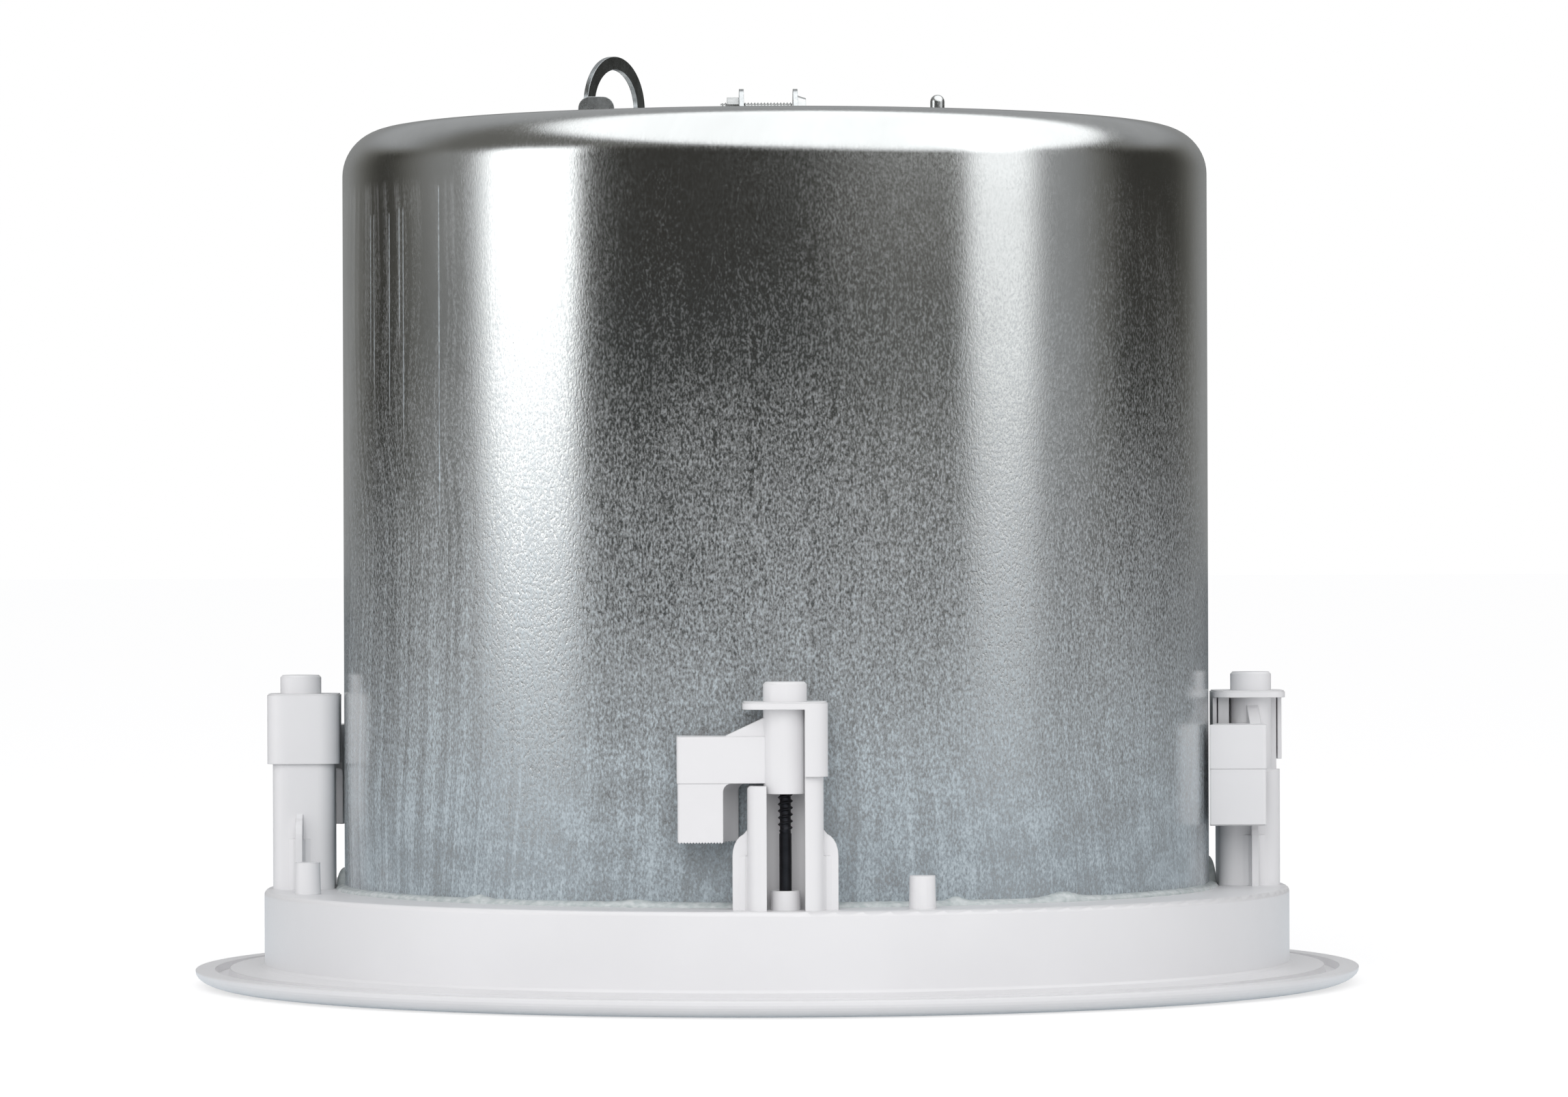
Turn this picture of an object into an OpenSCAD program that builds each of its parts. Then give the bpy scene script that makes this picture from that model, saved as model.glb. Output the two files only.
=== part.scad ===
// In-ceiling loudspeaker with a steel back can, standing face down on its bezel.
// +Z points up, out of the room side and into the ceiling. The origin is the centre of the bezel's front plane.

/* [Bezel and collar] */
// Width of the bezel outside the collar
bezel_w = 14.8; // [13.5:0.1:17]
// Thickness of the bezel at its outer lip
bezel_t = 3.7; // [3:0.1:5]
// Width of the flat front ring of the bezel, from the grille to the rounding
bezel_face_w = 10; // [7:0.5:11]
// Height of the frame floor, which is also the top of the collar
floor_z = 20.6; // [18:0.2:24]
// Thickness of the frame floor
floor_t = 3; // [2.4:0.1:4]
// Wall of the collar
collar_wall = 2.4; // [2:0.1:3]
// Width of the flat lip that bears on the ceiling
lip_w = 4.2; // [3:0.1:5]
// Width of the groove inside the lip
groove_w = 3.2; // [2:0.1:4]
// Depth of the groove inside the lip
groove_depth = 1.5; // [0.8:0.1:1.8]

/* [Back can] */
// Outer diameter of the back can
can_d = 186; // [180:1:188]
// Height of the can's top rim over the bezel's front plane
can_top = 184; // [170:1:205]
// Shoulder radius of the can
can_shoulder = 17; // [10:0.5:19]
// Sheet thickness of the can
can_t = 1; // [0.8:0.1:1.5]
// Gap between the wiring cover's corners and the wall of the recess in the can's top
recess_edge = 3.4; // [3:0.1:7]
// Depth of that recess
recess_depth = 7; // [4:0.5:9]
// Width of the rim turned in at the can's foot
can_rim_w = 9; // [8:0.5:10]
// Foot width of the sealant bead around the can
bead_w = 3.6; // [2:0.1:5]
// Height of the sealant bead
bead_h = 1.5; // [0.8:0.1:3]

/* [Clamps] */
// Gap between the can's wall and the clamp towers
tower_gap = 2.05; // [1.8:0.05:3]
// Step from a clamp tower's outer face out to the collar's face
tower_edge = 1.95; // [1.5:0.05:3]
// Width of a clamp tower along the collar
tower_w = 15.3; // [14.6:0.1:16]
// Depth of a clamp tower, radially
tower_d = 13.2; // [12.8:0.1:13.6]
// Offset of a tower's middle from the clamp axis, towards the can
tower_shift = 0.75; // [0.4:0.05:1]
// Bore of a clamp tower
tower_bore_d = 9.4; // [9.3:0.1:9.8]
// Width of the slot that lets the arm swing out
slot_w = 7.7; // [7.5:0.1:8]
// Height where the low wall of a tower ends
low_wall_z = 45.6; // [44:0.1:45.8]
// Height of the underside of a clamp cap
cap_z = 61; // [60:0.5:66]
// Thickness of a clamp cap's plate
cap_t = 1.5; // [1.3:0.1:2.5]
// Wall of a clamp cap's skirt
cap_wall = 0.85; // [0.7:0.05:1]
// Lower edge of a clamp cap's skirt
skirt_z = 47.5; // [46:0.5:52]
// Diameter of a clamp dog's sleeve
sleeve_d = 8.8; // [8.6:0.1:9]
// Lower end of the sleeve
sleeve_z = 44; // [42:0.5:45]
// Top of the sleeve's knob, over the cap
knob_z = 66.5; // [64:0.5:70]
// Reach of the clamp arm from its axis
arm_reach = 21.8; // [18:0.1:22]
// Distance from the clamp axis to the arm's inner side
arm_in = 3.6; // [3:0.1:3.7]
// Distance from the clamp axis to the arm's outer side
arm_out = 1.7; // [1.2:0.1:3.7]
// Lower face of the arm
arm_z = 46.1; // [46:0.1:47]
// Height of the arm
arm_h = 9.4; // [7:0.1:11]
// Lower end of the dog's serrated foot
foot_z = 34; // [32:0.5:38]
// Radius of the foot's hollow side around the clamp axis
foot_hollow_r = 12.6; // [12.2:0.1:13.5]
// Thread diameter of a clamp screw
clamp_screw_d = 3.2; // [3:0.1:3.4]
// Plain shank diameter of a clamp screw
clamp_shank_d = 2.5; // [2.2:0.1:2.7]
// Height where the thread of a clamp screw begins
thread_z = 36; // [30:1:42]
// Diameter of the pegs beside the clamps
peg_d = 5.3; // [4:0.1:6]
// Height of the pegs over the floor
peg_h = 6.7; // [4:0.1:9]
// Angle from each clamp to its peg, in degrees
peg_angle = 15.5; // [14:0.5:20]

/* [Grille] */
// Thickness of the grille sheet
grille_t = 1; // [0.8:0.1:1.4]
// Setback of the grille from the bezel's front plane
grille_setback = 0.8; // [0.4:0.1:1.5]
// Height of the grille's turned rim, sheet included
grille_rim_h = 7; // [5:0.5:8]
// Distance between the holes of the grille
grille_pitch = 10.4; // [9:0.1:13]
// Diameter of the holes of the grille
grille_hole_d = 7.4; // [4:0.1:7.8]

/* [Driver] */
// Gap between the driver's flange and the rim at the can's foot, radially
flange_gap = 2; // [1.5:0.1:3]
// Width of the driver's flange outside the baffle's opening
flange_w = 9; // [8.5:0.1:10]
// Thickness of the driver's flange
flange_t = 1.2; // [1:0.1:1.6]
// Distance of the driver's screws from the flange's edge
driver_screw_edge = 3; // [2.8:0.1:3.6]
// Width of the surround's glued lip
surround_lip_w = 4; // [3:0.1:5]
// Width of the surround's roll
surround_w = 8; // [6:0.1:9]
// Thickness of the cone
cone_t = 0.8; // [0.6:0.1:1.2]
// Diameter of the voice coil's former
coil_d = 26; // [25:0.5:30]
// Distance of the magnet's front plate behind the baffle's front face
basket_depth = 42; // [38:1:52]
// Diameter of the magnet
magnet_d = 90; // [80:1:100]
// Thickness of the magnet
magnet_t = 17; // [12:0.5:22]
// Thickness of the steel plates on the magnet
pole_plate_t = 5; // [4:0.5:7]
// Travel of the cone each way
cone_travel = 3; // [1:0.5:3.5]
// Diameter of the tweeter's pod
tweeter_d = 42; // [36:1:48]

/* [Top hardware] */
// Length of the wiring cover on the can's top
cover_l = 96; // [92:1:100]
// Width of the wiring cover
cover_w = 52; // [48:1:56]
// Thickness of the wiring cover
cover_t = 1; // [0.8:0.1:1.5]
// Height of the cable clamp's screw over the cover
squeeze_h = 9.6; // [8.5:0.1:11]
// Distance of the two ears of the cable clamp
squeeze_gap = 10.6; // [9.5:0.1:12]
// Diameter of the cable hole
cable_hole_d = 9; // [7:0.5:9.4]
// Outer diameter of the safety ring
ring_d = 22.8; // [21:0.2:24]
// Radial width of the safety ring
ring_w = 2.85; // [2.4:0.05:3]
// Thickness of the safety ring
ring_t = 1.1; // [0.9:0.1:1.2]
// Turn of the safety ring's plane about the upright, in degrees
ring_turn = 57; // [50:1:62]
// Width of the upright tab in front of the ring
tab_w = 7.8; // [6:0.1:9]
// Height of that tab over the cover
tab_h = 13.3; // [10:0.1:15]

/* [Hidden] */
$fn = 96;
eps = 0.01;
far = 400;
white = "whitesmoke";
steel = "lightsteelblue";
dark = "dimgray";

// running clearance of turning parts and loose clearance of fitted parts, on the radius
running = 0.06;
loose = 0.3;

can_r = can_d / 2;
can_in_r = can_r - can_t;
clamp_r = can_r + tower_gap + tower_d / 2 + tower_shift;
collar_r = clamp_r + tower_d / 2 - tower_shift + tower_edge;
bezel_r = collar_r + bezel_w;
collar_in_r = collar_r - collar_wall;
lip_in_r = bezel_r - lip_w;
groove_in_r = lip_in_r - groove_w;
baffle_z = floor_z - floor_t;
grille_r = collar_in_r - loose;
bezel_face_r = grille_r + bezel_face_w;
grille_top = grille_setback + grille_rim_h;
ledge_w = 1.8;
ledge_h = 2;

recess_r = norm([cover_l, cover_w]) / 2 + recess_edge;
recess_z = can_top - recess_depth;
recess_bend = 2.5;
rim_screw_r = can_in_r - can_rim_w / 2 + 0.5;
rim_screw_d = 3.5;
rim_screws = 8;

clamps = 4;
clamp_step = 360 / clamps;
dog_bore_d = clamp_screw_d + 2 * running;
boss_d = 6;
boss_z = floor_z + 3.9;
boss_bore_d = clamp_screw_d + 0.16;
head_d = 6.4;
head_h = 2.4;
fin_t = 1.5;
fin_out = 3;
fin_root = 1.6;
fin_z = 31.5;
fin_top = 36;
block_from = 8;
block_gap = 1.3;
foot_inset = 0.15;
hollow_fillet = 1.75;
tooth = 0.6;
tooth_h = 0.3;
gusset_rise = 4.2;
cap_r = 4.1;
tower_corner = 3.4;
low_wall_round = 0.8;
cap_half_w = tower_w / 2 + cap_wall + 0.05;
cap_half_d = tower_d / 2 + cap_wall + 0.3;
stop_y = slot_w / 2;
back_wall_x = -5;
back_wall_y = -4;

flange_r = can_in_r - can_rim_w - flange_gap;
opening_r = flange_r - flange_w;
driver_screw_r = flange_r - driver_screw_edge;
surround_r = opening_r - surround_lip_w;
cone_r = surround_r - surround_w;
gasket_t = 0.8;
flange_front = baffle_z - gasket_t - flange_t;
driver_screws_n = 6;
driver_screw_d = 3.2;
pan_d = 5.6;
pan_h = 1.8;
flange_in_r = surround_r - 1;
driver_screw_end = floor_z + 3;
driver_boss_h = 5;
plate_front_z = baffle_z + basket_depth;
plate_back_z = plate_front_z + pole_plate_t + magnet_t;
pole_r = coil_d / 2 - 0.9;
gap_r = coil_d / 2 + 1.1;
basket_back_r = magnet_d / 2 - 7;
basket_t = 1.2;
roll_r = surround_w / 2;
roll_mid_r = (surround_r + cone_r) / 2;
surround_t = 0.6;
roll_z = flange_front - surround_t;
cone_front_z = roll_z + surround_t;
cone_back_z = plate_front_z - 9;
coil_r = coil_d / 2;
// the coil stays in the gap over its whole travel
coil_over = cone_travel - 1;
spider_z = plate_front_z - 7;
bridge_z = grille_setback + grille_t + 2;
bridge_t = 2.5;
bridge_w = 12;
pod_r = tweeter_d / 2;
pod_h = 15;
dome_r = 12.5;

knob_r = 5.5;
knob_angle = 225;
knob_axis_r = rim_screw_r;

cover_top = recess_z + cover_t;
squeeze_z = cover_top + squeeze_h;
squeeze_mid_x = -1.3;
squeeze_screw_d = 4.1;
ear_t = 1;
ear_r = 4.9;
ear_front_y = -14;
strap_t = 1;
cable_y = -8.4;
stud_x = cover_l / 2 - 12.8;
stud_d = 3.1;
stud_top = 191.2;
ring_x = 13.4 - cover_l / 2;
ring_y = 20;
ring_in_r = ring_d / 2 - ring_w;
ring_gap = 0.15;
ring_axis_z = cover_top + ring_gap + ring_w / 2;
ring_mid_z = cover_top + ring_gap + ring_d / 2;
bridge_strap_w = 4;
bridge_half = 4.2;
bridge_under = cover_top + ring_gap + ring_w + 0.35;
tab_x = 9.6 - cover_l / 2;
tab_y = 5.8;
tab_t = 1.2;
tab_corner = 2.6;

inner_top = recess_z - can_t;
trafo_x = 29 - cover_l / 2;
trafo_y = -cover_w / 2 - 10;
trafo_l = 42;
trafo_w = 20;
trafo_h = 30;
trafo_leg = 5.5;
trafo_yoke = 5;
trafo_mid = 15;
trafo_fit = 0.2;
trafo_coil_out = 6;
post_d = 5;
post_edge = 5;
post_bore_d = 3;
post_bore_h = 4;
board_x = cover_l / 2 - 25;
board_y = trafo_y;
board_l = 40;
board_w = 34;
board_z = inner_top - 14;
board_t = 1.6;
choke_r = 10;
choke_in_r = 4;
choke_h = 12;
capacitor_d = 10;
capacitor_h = 16;
block_x = 10;
block_y = 8.6;
block_l = 32;
block_w = 13;
hatch_x = squeeze_mid_x + 8;
hatch_l = 44;
hatch_w = 32;
block_h = 12;

module ring(r_out, r_in, z, h) {
    translate([0, 0, z])
        difference() {
            cylinder(r = r_out, h = h);
            translate([0, 0, -1]) cylinder(r = r_in, h = h + 2);
        }
}

// a rectangle with round corners, about its centre
module round_rect(l, w, r) {
    square([l - 2 * r, w], center = true);
    square([l, w - 2 * r], center = true);
    for (x = [-1, 1], y = [-1, 1]) translate([x * (l / 2 - r), y * (w / 2 - r)]) circle(r = r, $fn = 32);
}

// a screw whose head sits under the face at z and whose shank goes up from it
module screw_up(z, length, d, head, head_height) {
    translate([0, 0, z]) cylinder(d = d, h = length, $fn = 32);
    translate([0, 0, z - head_height])
        difference() {
            union() {
                cylinder(d1 = head - 1.4, d2 = head, h = 0.7, $fn = 48);
                translate([0, 0, 0.7]) cylinder(d = head, h = head_height - 0.7, $fn = 48);
            }
            for (a = [0, 90]) rotate(a) translate([-head / 4, -0.5, -1]) cube([head / 2, 1, 1 + head_height * 0.6]);
        }
}

module at_clamp(k) {
    rotate([0, 0, (k - 2) * clamp_step]) translate([clamp_r, 0, 0]) children();
}

// clamp tower: a bored channel that is open outward; X points outward and the arm rests towards -Y
module tower_outline() {
    difference() {
        translate([-tower_shift, 0]) round_rect(tower_d, tower_w, tower_corner);
        circle(d = tower_bore_d);
        translate([0, -slot_w / 2]) square([tower_d, slot_w]);
    }
}

module clamp_tower() {
    low_top = low_wall_z - low_wall_round;
    translate([0, 0, floor_z - eps])
        linear_extrude(low_top - floor_z + eps) tower_outline();
    // the low wall ends in a round edge along X
    intersection() {
        translate([0, 0, low_top - eps]) linear_extrude(low_wall_round + eps) tower_outline();
        union() {
            translate([-tower_d, low_wall_round - tower_w / 2, low_top - eps])
                cube([2 * tower_d, 2 * tower_w, low_wall_round + 2 * eps]);
            translate([0, low_wall_round - tower_w / 2, low_top])
                rotate([0, 90, 0]) cylinder(r = low_wall_round, h = 2 * tower_d, center = true);
        }
    }
    // the high walls carry the cap
    intersection() {
        translate([0, 0, low_wall_z - eps]) linear_extrude(cap_z - low_wall_z + eps) tower_outline();
        union() {
            translate([-tower_d, stop_y, low_wall_z - 1]) cube([2 * tower_d, tower_w, cap_z]);
            translate([-tower_d, back_wall_y, low_wall_z - 1]) cube([tower_d + back_wall_x, tower_w, cap_z]);
        }
    }
    for (s = [-1, 1]) fin(s);
    translate([0, 0, floor_z - eps]) cylinder(d = boss_d, h = boss_z - floor_z + eps);
}

module fin(side) {
    y0 = tower_w / 2 - 1;
    y1 = tower_w / 2 + fin_out;
    rise = fin_top - fin_z;
    round_edge = [for (a = [0:15:75]) [tower_w / 2 + fin_out * cos(a), fin_z + rise * sin(a)]];
    rotate([90, 0, 90])
        linear_extrude(fin_t, center = true)
            polygon([for (p = concat([[y0, floor_z - eps], [y1, floor_z - eps]], round_edge,
                [[tower_w / 2, fin_top + 0.8], [y0, fin_top + 0.8]])) [side * p[0], p[1]]]);
    // the fin's root widens into the tower
    for (t = [-1, 1])
        translate([0, side * tower_w / 2, floor_z - eps])
            linear_extrude(fin_z - floor_z + eps)
                polygon([[t * (fin_t / 2 - eps), side * fin_root], [t * (fin_t / 2 - eps), -side],
                    [t * (fin_t / 2 + fin_root), -side], [t * (fin_t / 2 + fin_root), 0],
                    [t * (fin_t / 2 + fin_root * 0.3), side * fin_root * 0.3]]);
}

module frame_section() {
    round_z = bezel_t - 0.4;
    round_w = bezel_r - bezel_face_r;
    edge = [for (a = [-90:10:0]) [bezel_face_r + round_w * cos(a), round_z + round_z * sin(a)]];
    inner_z = bezel_t + 0.2;
    polygon(concat([[grille_r + loose, 0]], edge,
        [[bezel_r, bezel_t - 0.2], [bezel_r - 0.2, bezel_t], [lip_in_r, bezel_t],
         [lip_in_r - 0.3, bezel_t - groove_depth], [groove_in_r + 0.3, bezel_t - groove_depth],
         [groove_in_r, inner_z], [collar_r + 0.6, inner_z + 0.4], [collar_r, inner_z + 1],
         [collar_r, floor_z - 1], [collar_r - 1, floor_z - 1], [collar_in_r, floor_z - 1]]));
    translate([collar_in_r, floor_z - 2]) square([collar_wall - 1, 2]);
    translate([collar_r - 1, floor_z - 1]) circle(r = 1, $fn = 32);
    translate([opening_r, baffle_z]) square([collar_in_r - opening_r + eps, floor_t]);
    translate([collar_in_r - ledge_w, grille_top]) square([ledge_w + eps, ledge_h]);
}

module front_frame() {
    color(white)
        difference() {
            union() {
                rotate_extrude($fn = 180) frame_section();
                for (k = [1:clamps]) {
                    at_clamp(k) clamp_tower();
                    rotate([0, 0, (k - 2) * clamp_step + peg_angle])
                        translate([clamp_r + 1, 0, floor_z - eps])
                            cylinder(d1 = peg_d + 0.2, d2 = peg_d - 0.1, h = peg_h);
                }
                driver_bosses();
                front_ribs();
            }
            for (k = [1:clamps])
                at_clamp(k) translate([0, 0, baffle_z - 1]) cylinder(d = boss_bore_d, h = boss_z);
            for (k = [0:rim_screws - 1])
                rotate(22.5 + k * 360 / rim_screws) translate([rim_screw_r, 0, baffle_z - 1])
                    cylinder(d = rim_screw_d + 0.4, h = floor_t + 2);
            for (k = [0:driver_screws_n - 1])
                rotate(k * 360 / driver_screws_n) translate([driver_screw_r, 0, baffle_z - 1])
                    cylinder(d = driver_screw_d, h = driver_boss_h + floor_t + 2);
            rotate(knob_angle) translate([knob_axis_r, 0, baffle_z - 1]) cylinder(d = 7 + 0.1, h = floor_t + 2);
        }
}

module driver_bosses() {
    for (k = [0:driver_screws_n - 1])
        rotate(k * 360 / driver_screws_n)
            translate([driver_screw_r, 0, floor_z - eps]) cylinder(d = driver_screw_d + 3.2, h = driver_boss_h);
}

// radial ribs under the floor, behind the grille
module front_ribs() {
    for (k = [0:15])
        if (k % 4 != 0)
            rotate(k * 22.5)
                translate([collar_in_r - 9, -0.8, grille_top + ledge_h + 1])
                    cube([9 + eps, 1.6, baffle_z - grille_top - ledge_h - 1 + eps]);
}

module grille() {
    rows = floor((grille_r - 6) / (grille_pitch * sin(60)));
    cols = floor((grille_r - 6) / grille_pitch);
    color(white) {
        translate([0, 0, grille_setback]) linear_extrude(grille_t)
            difference() {
                circle(r = grille_r);
                for (j = [-rows:rows], i = [-cols:cols]) {
                    x = (i + (j % 2 == 0 ? 0 : 0.5)) * grille_pitch;
                    y = j * grille_pitch * sin(60);
                    if (norm([x, y]) < grille_r - 6)
                        translate([x, y]) circle(d = grille_hole_d, $fn = 6);
                }
            }
        ring(grille_r, grille_r - grille_t, grille_setback, grille_rim_h);
    }
}

// the can's outer form: straight wall, round shoulder, flat top with a round recess
module can_form(inset) {
    r = can_r - inset;
    top = can_top - inset;
    rr = can_shoulder - inset;
    translate([0, floor_z]) square([r, top - floor_z - rr]);
    translate([0, floor_z]) square([r - rr, top - floor_z]);
    translate([r - rr, top - rr]) circle(r = rr);
}

module recess_form(outset) {
    b = recess_bend;
    translate([0, recess_z - outset]) square([recess_r - b + eps, recess_depth + outset + 1]);
    translate([0, recess_z + b]) square([recess_r + outset, recess_depth + 1 - b]);
    translate([recess_r - b, recess_z + b]) circle(r = b + outset);
}

module can_section() {
    difference() {
        can_form(0);
        recess_form(0);
        difference() {
            can_form(can_t);
            recess_form(can_t);
            translate([can_in_r - can_rim_w, floor_z - 1]) square([can_rim_w + 1, can_t + 1]);
        }
        translate([-far, floor_z - 2]) square([far, far]);
        translate([-1, floor_z - 1]) square([can_in_r - can_rim_w + 1, can_t + 2]);
    }
}

module back_can() {
    color(steel)
        difference() {
            rotate_extrude($fn = 180) can_section();
            for (k = [0:rim_screws - 1])
                rotate(22.5 + k * 360 / rim_screws) translate([rim_screw_r, 0, floor_z - 1])
                    cylinder(d = rim_screw_d, h = can_t + 2);
            rotate(knob_angle) translate([knob_axis_r - 7, -8, floor_z - 1]) cube([11, 16, can_t + 2]);
            // the hole under the cover takes the terminals and the cable
            translate([hatch_x, 0.6, recess_z - can_t - 1])
                linear_extrude(can_t + 2) round_rect(hatch_l, hatch_w, 3);
            translate([stud_x, 0, recess_z - can_t - 1]) cylinder(d = stud_d, h = can_t + 2);
            for (p = inner_screw_points()) translate([p[0], p[1], recess_z - can_t - 1])
                cylinder(d = post_bore_d, h = can_t + 2);
        }
}

module sealant_bead() {
    color("lightgray")
        difference() {
            rotate_extrude($fn = 180)
                polygon(concat([[can_r, floor_z]],
                    [for (a = [0:15:90]) [can_r + bead_w * cos(a), floor_z + bead_h * sin(a)]]));
            // it is pressed flat against the clamp towers
            for (k = [1:clamps]) at_clamp(k)
                translate([-tower_shift - tower_d / 2, -tower_w / 2, floor_z - 1])
                    cube([tower_d, tower_w, bead_h + 2]);
        }
}

module can_screws() {
    color(dark)
        for (k = [0:rim_screws - 1])
            rotate(22.5 + k * 360 / rim_screws) translate([rim_screw_r, 0, 0])
                screw_up(baffle_z, floor_t + can_t + 4, rim_screw_d, head_d, head_h);
}

// cap: clipped over the high walls, open on the arm's side
module clamp_cap() {
    edge = 0.25;
    l = 2 * cap_half_d;
    w = 2 * cap_half_w;
    color(white)
        difference() {
            translate([-tower_shift, 0, 0]) {
                translate([0, 0, skirt_z]) linear_extrude(cap_z + cap_t - edge - skirt_z) round_rect(l, w, cap_r);
                translate([0, 0, cap_z + cap_t - edge - eps])
                    linear_extrude(edge + eps) round_rect(l - 2 * edge, w - 2 * edge, cap_r - edge);
            }
            translate([-tower_shift, 0, skirt_z - 1])
                linear_extrude(cap_z - skirt_z + 1)
                    round_rect(l - 2 * cap_wall, w - 2 * cap_wall, cap_r - cap_wall);
            translate([-far / 2, back_wall_y - far, skirt_z - 1]) cube([far, far, cap_z - skirt_z + 1]);
            translate([back_wall_x, stop_y - far, skirt_z - 1]) cube([far, far, cap_z - skirt_z + 1]);
            translate([0, 0, cap_z - 1]) cylinder(d = sleeve_d + 2 * running, h = cap_t + 2);
        }
}

// dog: sleeve, arm, block hugging the can, serrated foot, gusset
module clamp_dog() {
    gusset_from = foot_hollow_r - 0.2;
    can_clear_r = can_r + block_gap;
    block_in = clamp_r - sqrt(can_clear_r * can_clear_r - arm_reach * arm_reach) + 0.5;
    knob_edge = 0.5;
    color(white)
        difference() {
            union() {
                translate([0, 0, sleeve_z]) cylinder(d = sleeve_d, h = knob_z - sleeve_z - knob_edge);
                translate([0, 0, knob_z - knob_edge - eps])
                    cylinder(d1 = sleeve_d, d2 = sleeve_d - 2 * knob_edge, h = knob_edge + eps);
                translate([-arm_in, -block_from - 1, arm_z]) cube([arm_in + arm_out, block_from + 1, arm_h]);
                difference() {
                    union() {
                        translate([0, 0, arm_z]) linear_extrude(arm_h) block_outline(block_in, 0);
                        serrated_foot(block_in);
                    }
                    translate([-clamp_r, 0, 0]) cylinder(r = can_clear_r, h = far);
                    foot_hollow();
                }
                rotate([90, 0, 90])
                    linear_extrude(2.4, center = true)
                        polygon([[-gusset_from, arm_z + arm_h - eps], [-sleeve_d / 2 + 1, arm_z + arm_h - eps],
                            [-sleeve_d / 2 + 1, arm_z + arm_h + gusset_rise]]);
            }
            translate([0, 0, sleeve_z - 1]) cylinder(d = dog_bore_d, h = knob_z - sleeve_z - 1);
        }
}

module block_outline(block_in, inset) {
    l = arm_out + block_in - 2 * inset;
    w = arm_reach - block_from - 2 * inset;
    translate([(arm_out - block_in) / 2, -(block_from + arm_reach) / 2]) round_rect(l, w, 1 - inset);
}

// the block's lower part, a little smaller than the arm, with teeth across its lower edge
module serrated_foot(block_in) {
    teeth = floor((arm_reach - block_from) / tooth);
    intersection() {
        translate([0, 0, foot_z]) linear_extrude(arm_z - foot_z + eps) block_outline(block_in, foot_inset);
        rotate([90, 0, 90])
            linear_extrude(far, center = true)
                polygon(concat([[-block_from, arm_z + 1], [-arm_reach, arm_z + 1], [-arm_reach, foot_z]],
                    [for (i = [0:teeth - 1]) each
                        [[-arm_reach + i * tooth, foot_z], [-arm_reach + (i + 0.5) * tooth, foot_z + tooth_h]]],
                    [[-block_from, foot_z]]));
    }
}

// the room that the foot leaves around the tower, with a filleted ceiling
module foot_hollow() {
    translate([0, 0, foot_z - 2]) {
        cylinder(r = foot_hollow_r, h = arm_z - hollow_fillet - foot_z + 2);
        cylinder(r = foot_hollow_r - hollow_fillet, h = arm_z - foot_z + 2);
    }
    translate([0, 0, arm_z - hollow_fillet])
        rotate_extrude() translate([foot_hollow_r - hollow_fillet, 0]) circle(r = hollow_fillet, $fn = 48);
}

module clamp_screw() {
    color("black") {
        screw_up(baffle_z, thread_z - baffle_z, clamp_shank_d, head_d, head_h);
        translate([0, 0, thread_z - eps]) cylinder(d = clamp_screw_d, h = knob_z - 3.2 - thread_z, $fn = 48);
    }
}

module driver_gasket() {
    color(dark)
        difference() {
            ring(flange_r, opening_r, baffle_z - gasket_t, gasket_t);
            driver_screw_holes();
        }
}

module driver_basket() {
    back_in_r = gap_r + 3;
    slope_r = basket_back_r;
    window_w = 1.16 * basket_back_r;
    top = plate_front_z;
    color(dark)
        difference() {
            rotate_extrude($fn = 120)
                polygon([[flange_in_r, flange_front], [flange_r, flange_front],
                    [flange_r, flange_front + flange_t], [opening_r - 0.6, flange_front + flange_t],
                    [opening_r - 0.8, flange_front + 8], [slope_r + 1.4, top - 9], [slope_r + 1.4, top],
                    [back_in_r, top], [back_in_r, top - basket_t], [slope_r, top - basket_t],
                    [slope_r, top - 9], [opening_r - 2.2, flange_front + 8], [opening_r - 2.2, flange_front + flange_t],
                    [flange_in_r, flange_front + flange_t]]);
            for (k = [0:3])
                rotate(k * 90)
                    translate([slope_r - 6, -window_w / 2, flange_front + 9])
                        cube([flange_r, window_w, top - flange_front - 15]);
            driver_screw_holes();
        }
}

module driver_screw_holes() {
    for (k = [0:driver_screws_n - 1])
        rotate(k * 360 / driver_screws_n) translate([driver_screw_r, 0, 0])
            cylinder(d = driver_screw_d + 0.4, h = baffle_z + 2);
}

module driver_screws() {
    color(dark)
        for (k = [0:driver_screws_n - 1])
            rotate(k * 360 / driver_screws_n) translate([driver_screw_r, 0, 0])
                let (seat_z = flange_front - (k % 3 == 0 ? bridge_t : 0))
                    screw_up(seat_z, driver_screw_end - seat_z, driver_screw_d, pan_d, pan_h);
}

module surround() {
    color("black")
        rotate_extrude($fn = 120)
            difference() {
                union() {
                    translate([roll_mid_r, roll_z + surround_t]) circle(r = roll_r);
                    translate([surround_r - 1, roll_z]) square([surround_lip_w + 1, surround_t]);
                }
                translate([roll_mid_r, roll_z + surround_t]) circle(r = roll_r - surround_t);
                translate([0, roll_z + surround_t]) square([far, far]);
            }
}

module spider() {
    steps = 5;
    r0 = coil_r + 0.4;
    r1 = basket_back_r - 1;
    pts = [for (i = [0:4 * steps]) [r0 + (r1 - r0) * i / (4 * steps), spider_z + 1.2 * sin(90 * i)]];
    color("goldenrod")
        rotate_extrude($fn = 72)
            polygon(concat(pts, [for (i = [4 * steps:-1:0]) [pts[i][0], pts[i][1] + 0.5]]));
}

// the cone's front face from its rim, at t = 0, to the voice coil, at t = 1
cone_rim_r = cone_r + 0.3;
cone_run = cone_rim_r - coil_r - 0.05;
function cone_z(t) = cone_front_z + (cone_back_z - cone_front_z) * (t + 0.18 * sin(180 * t));

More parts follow.
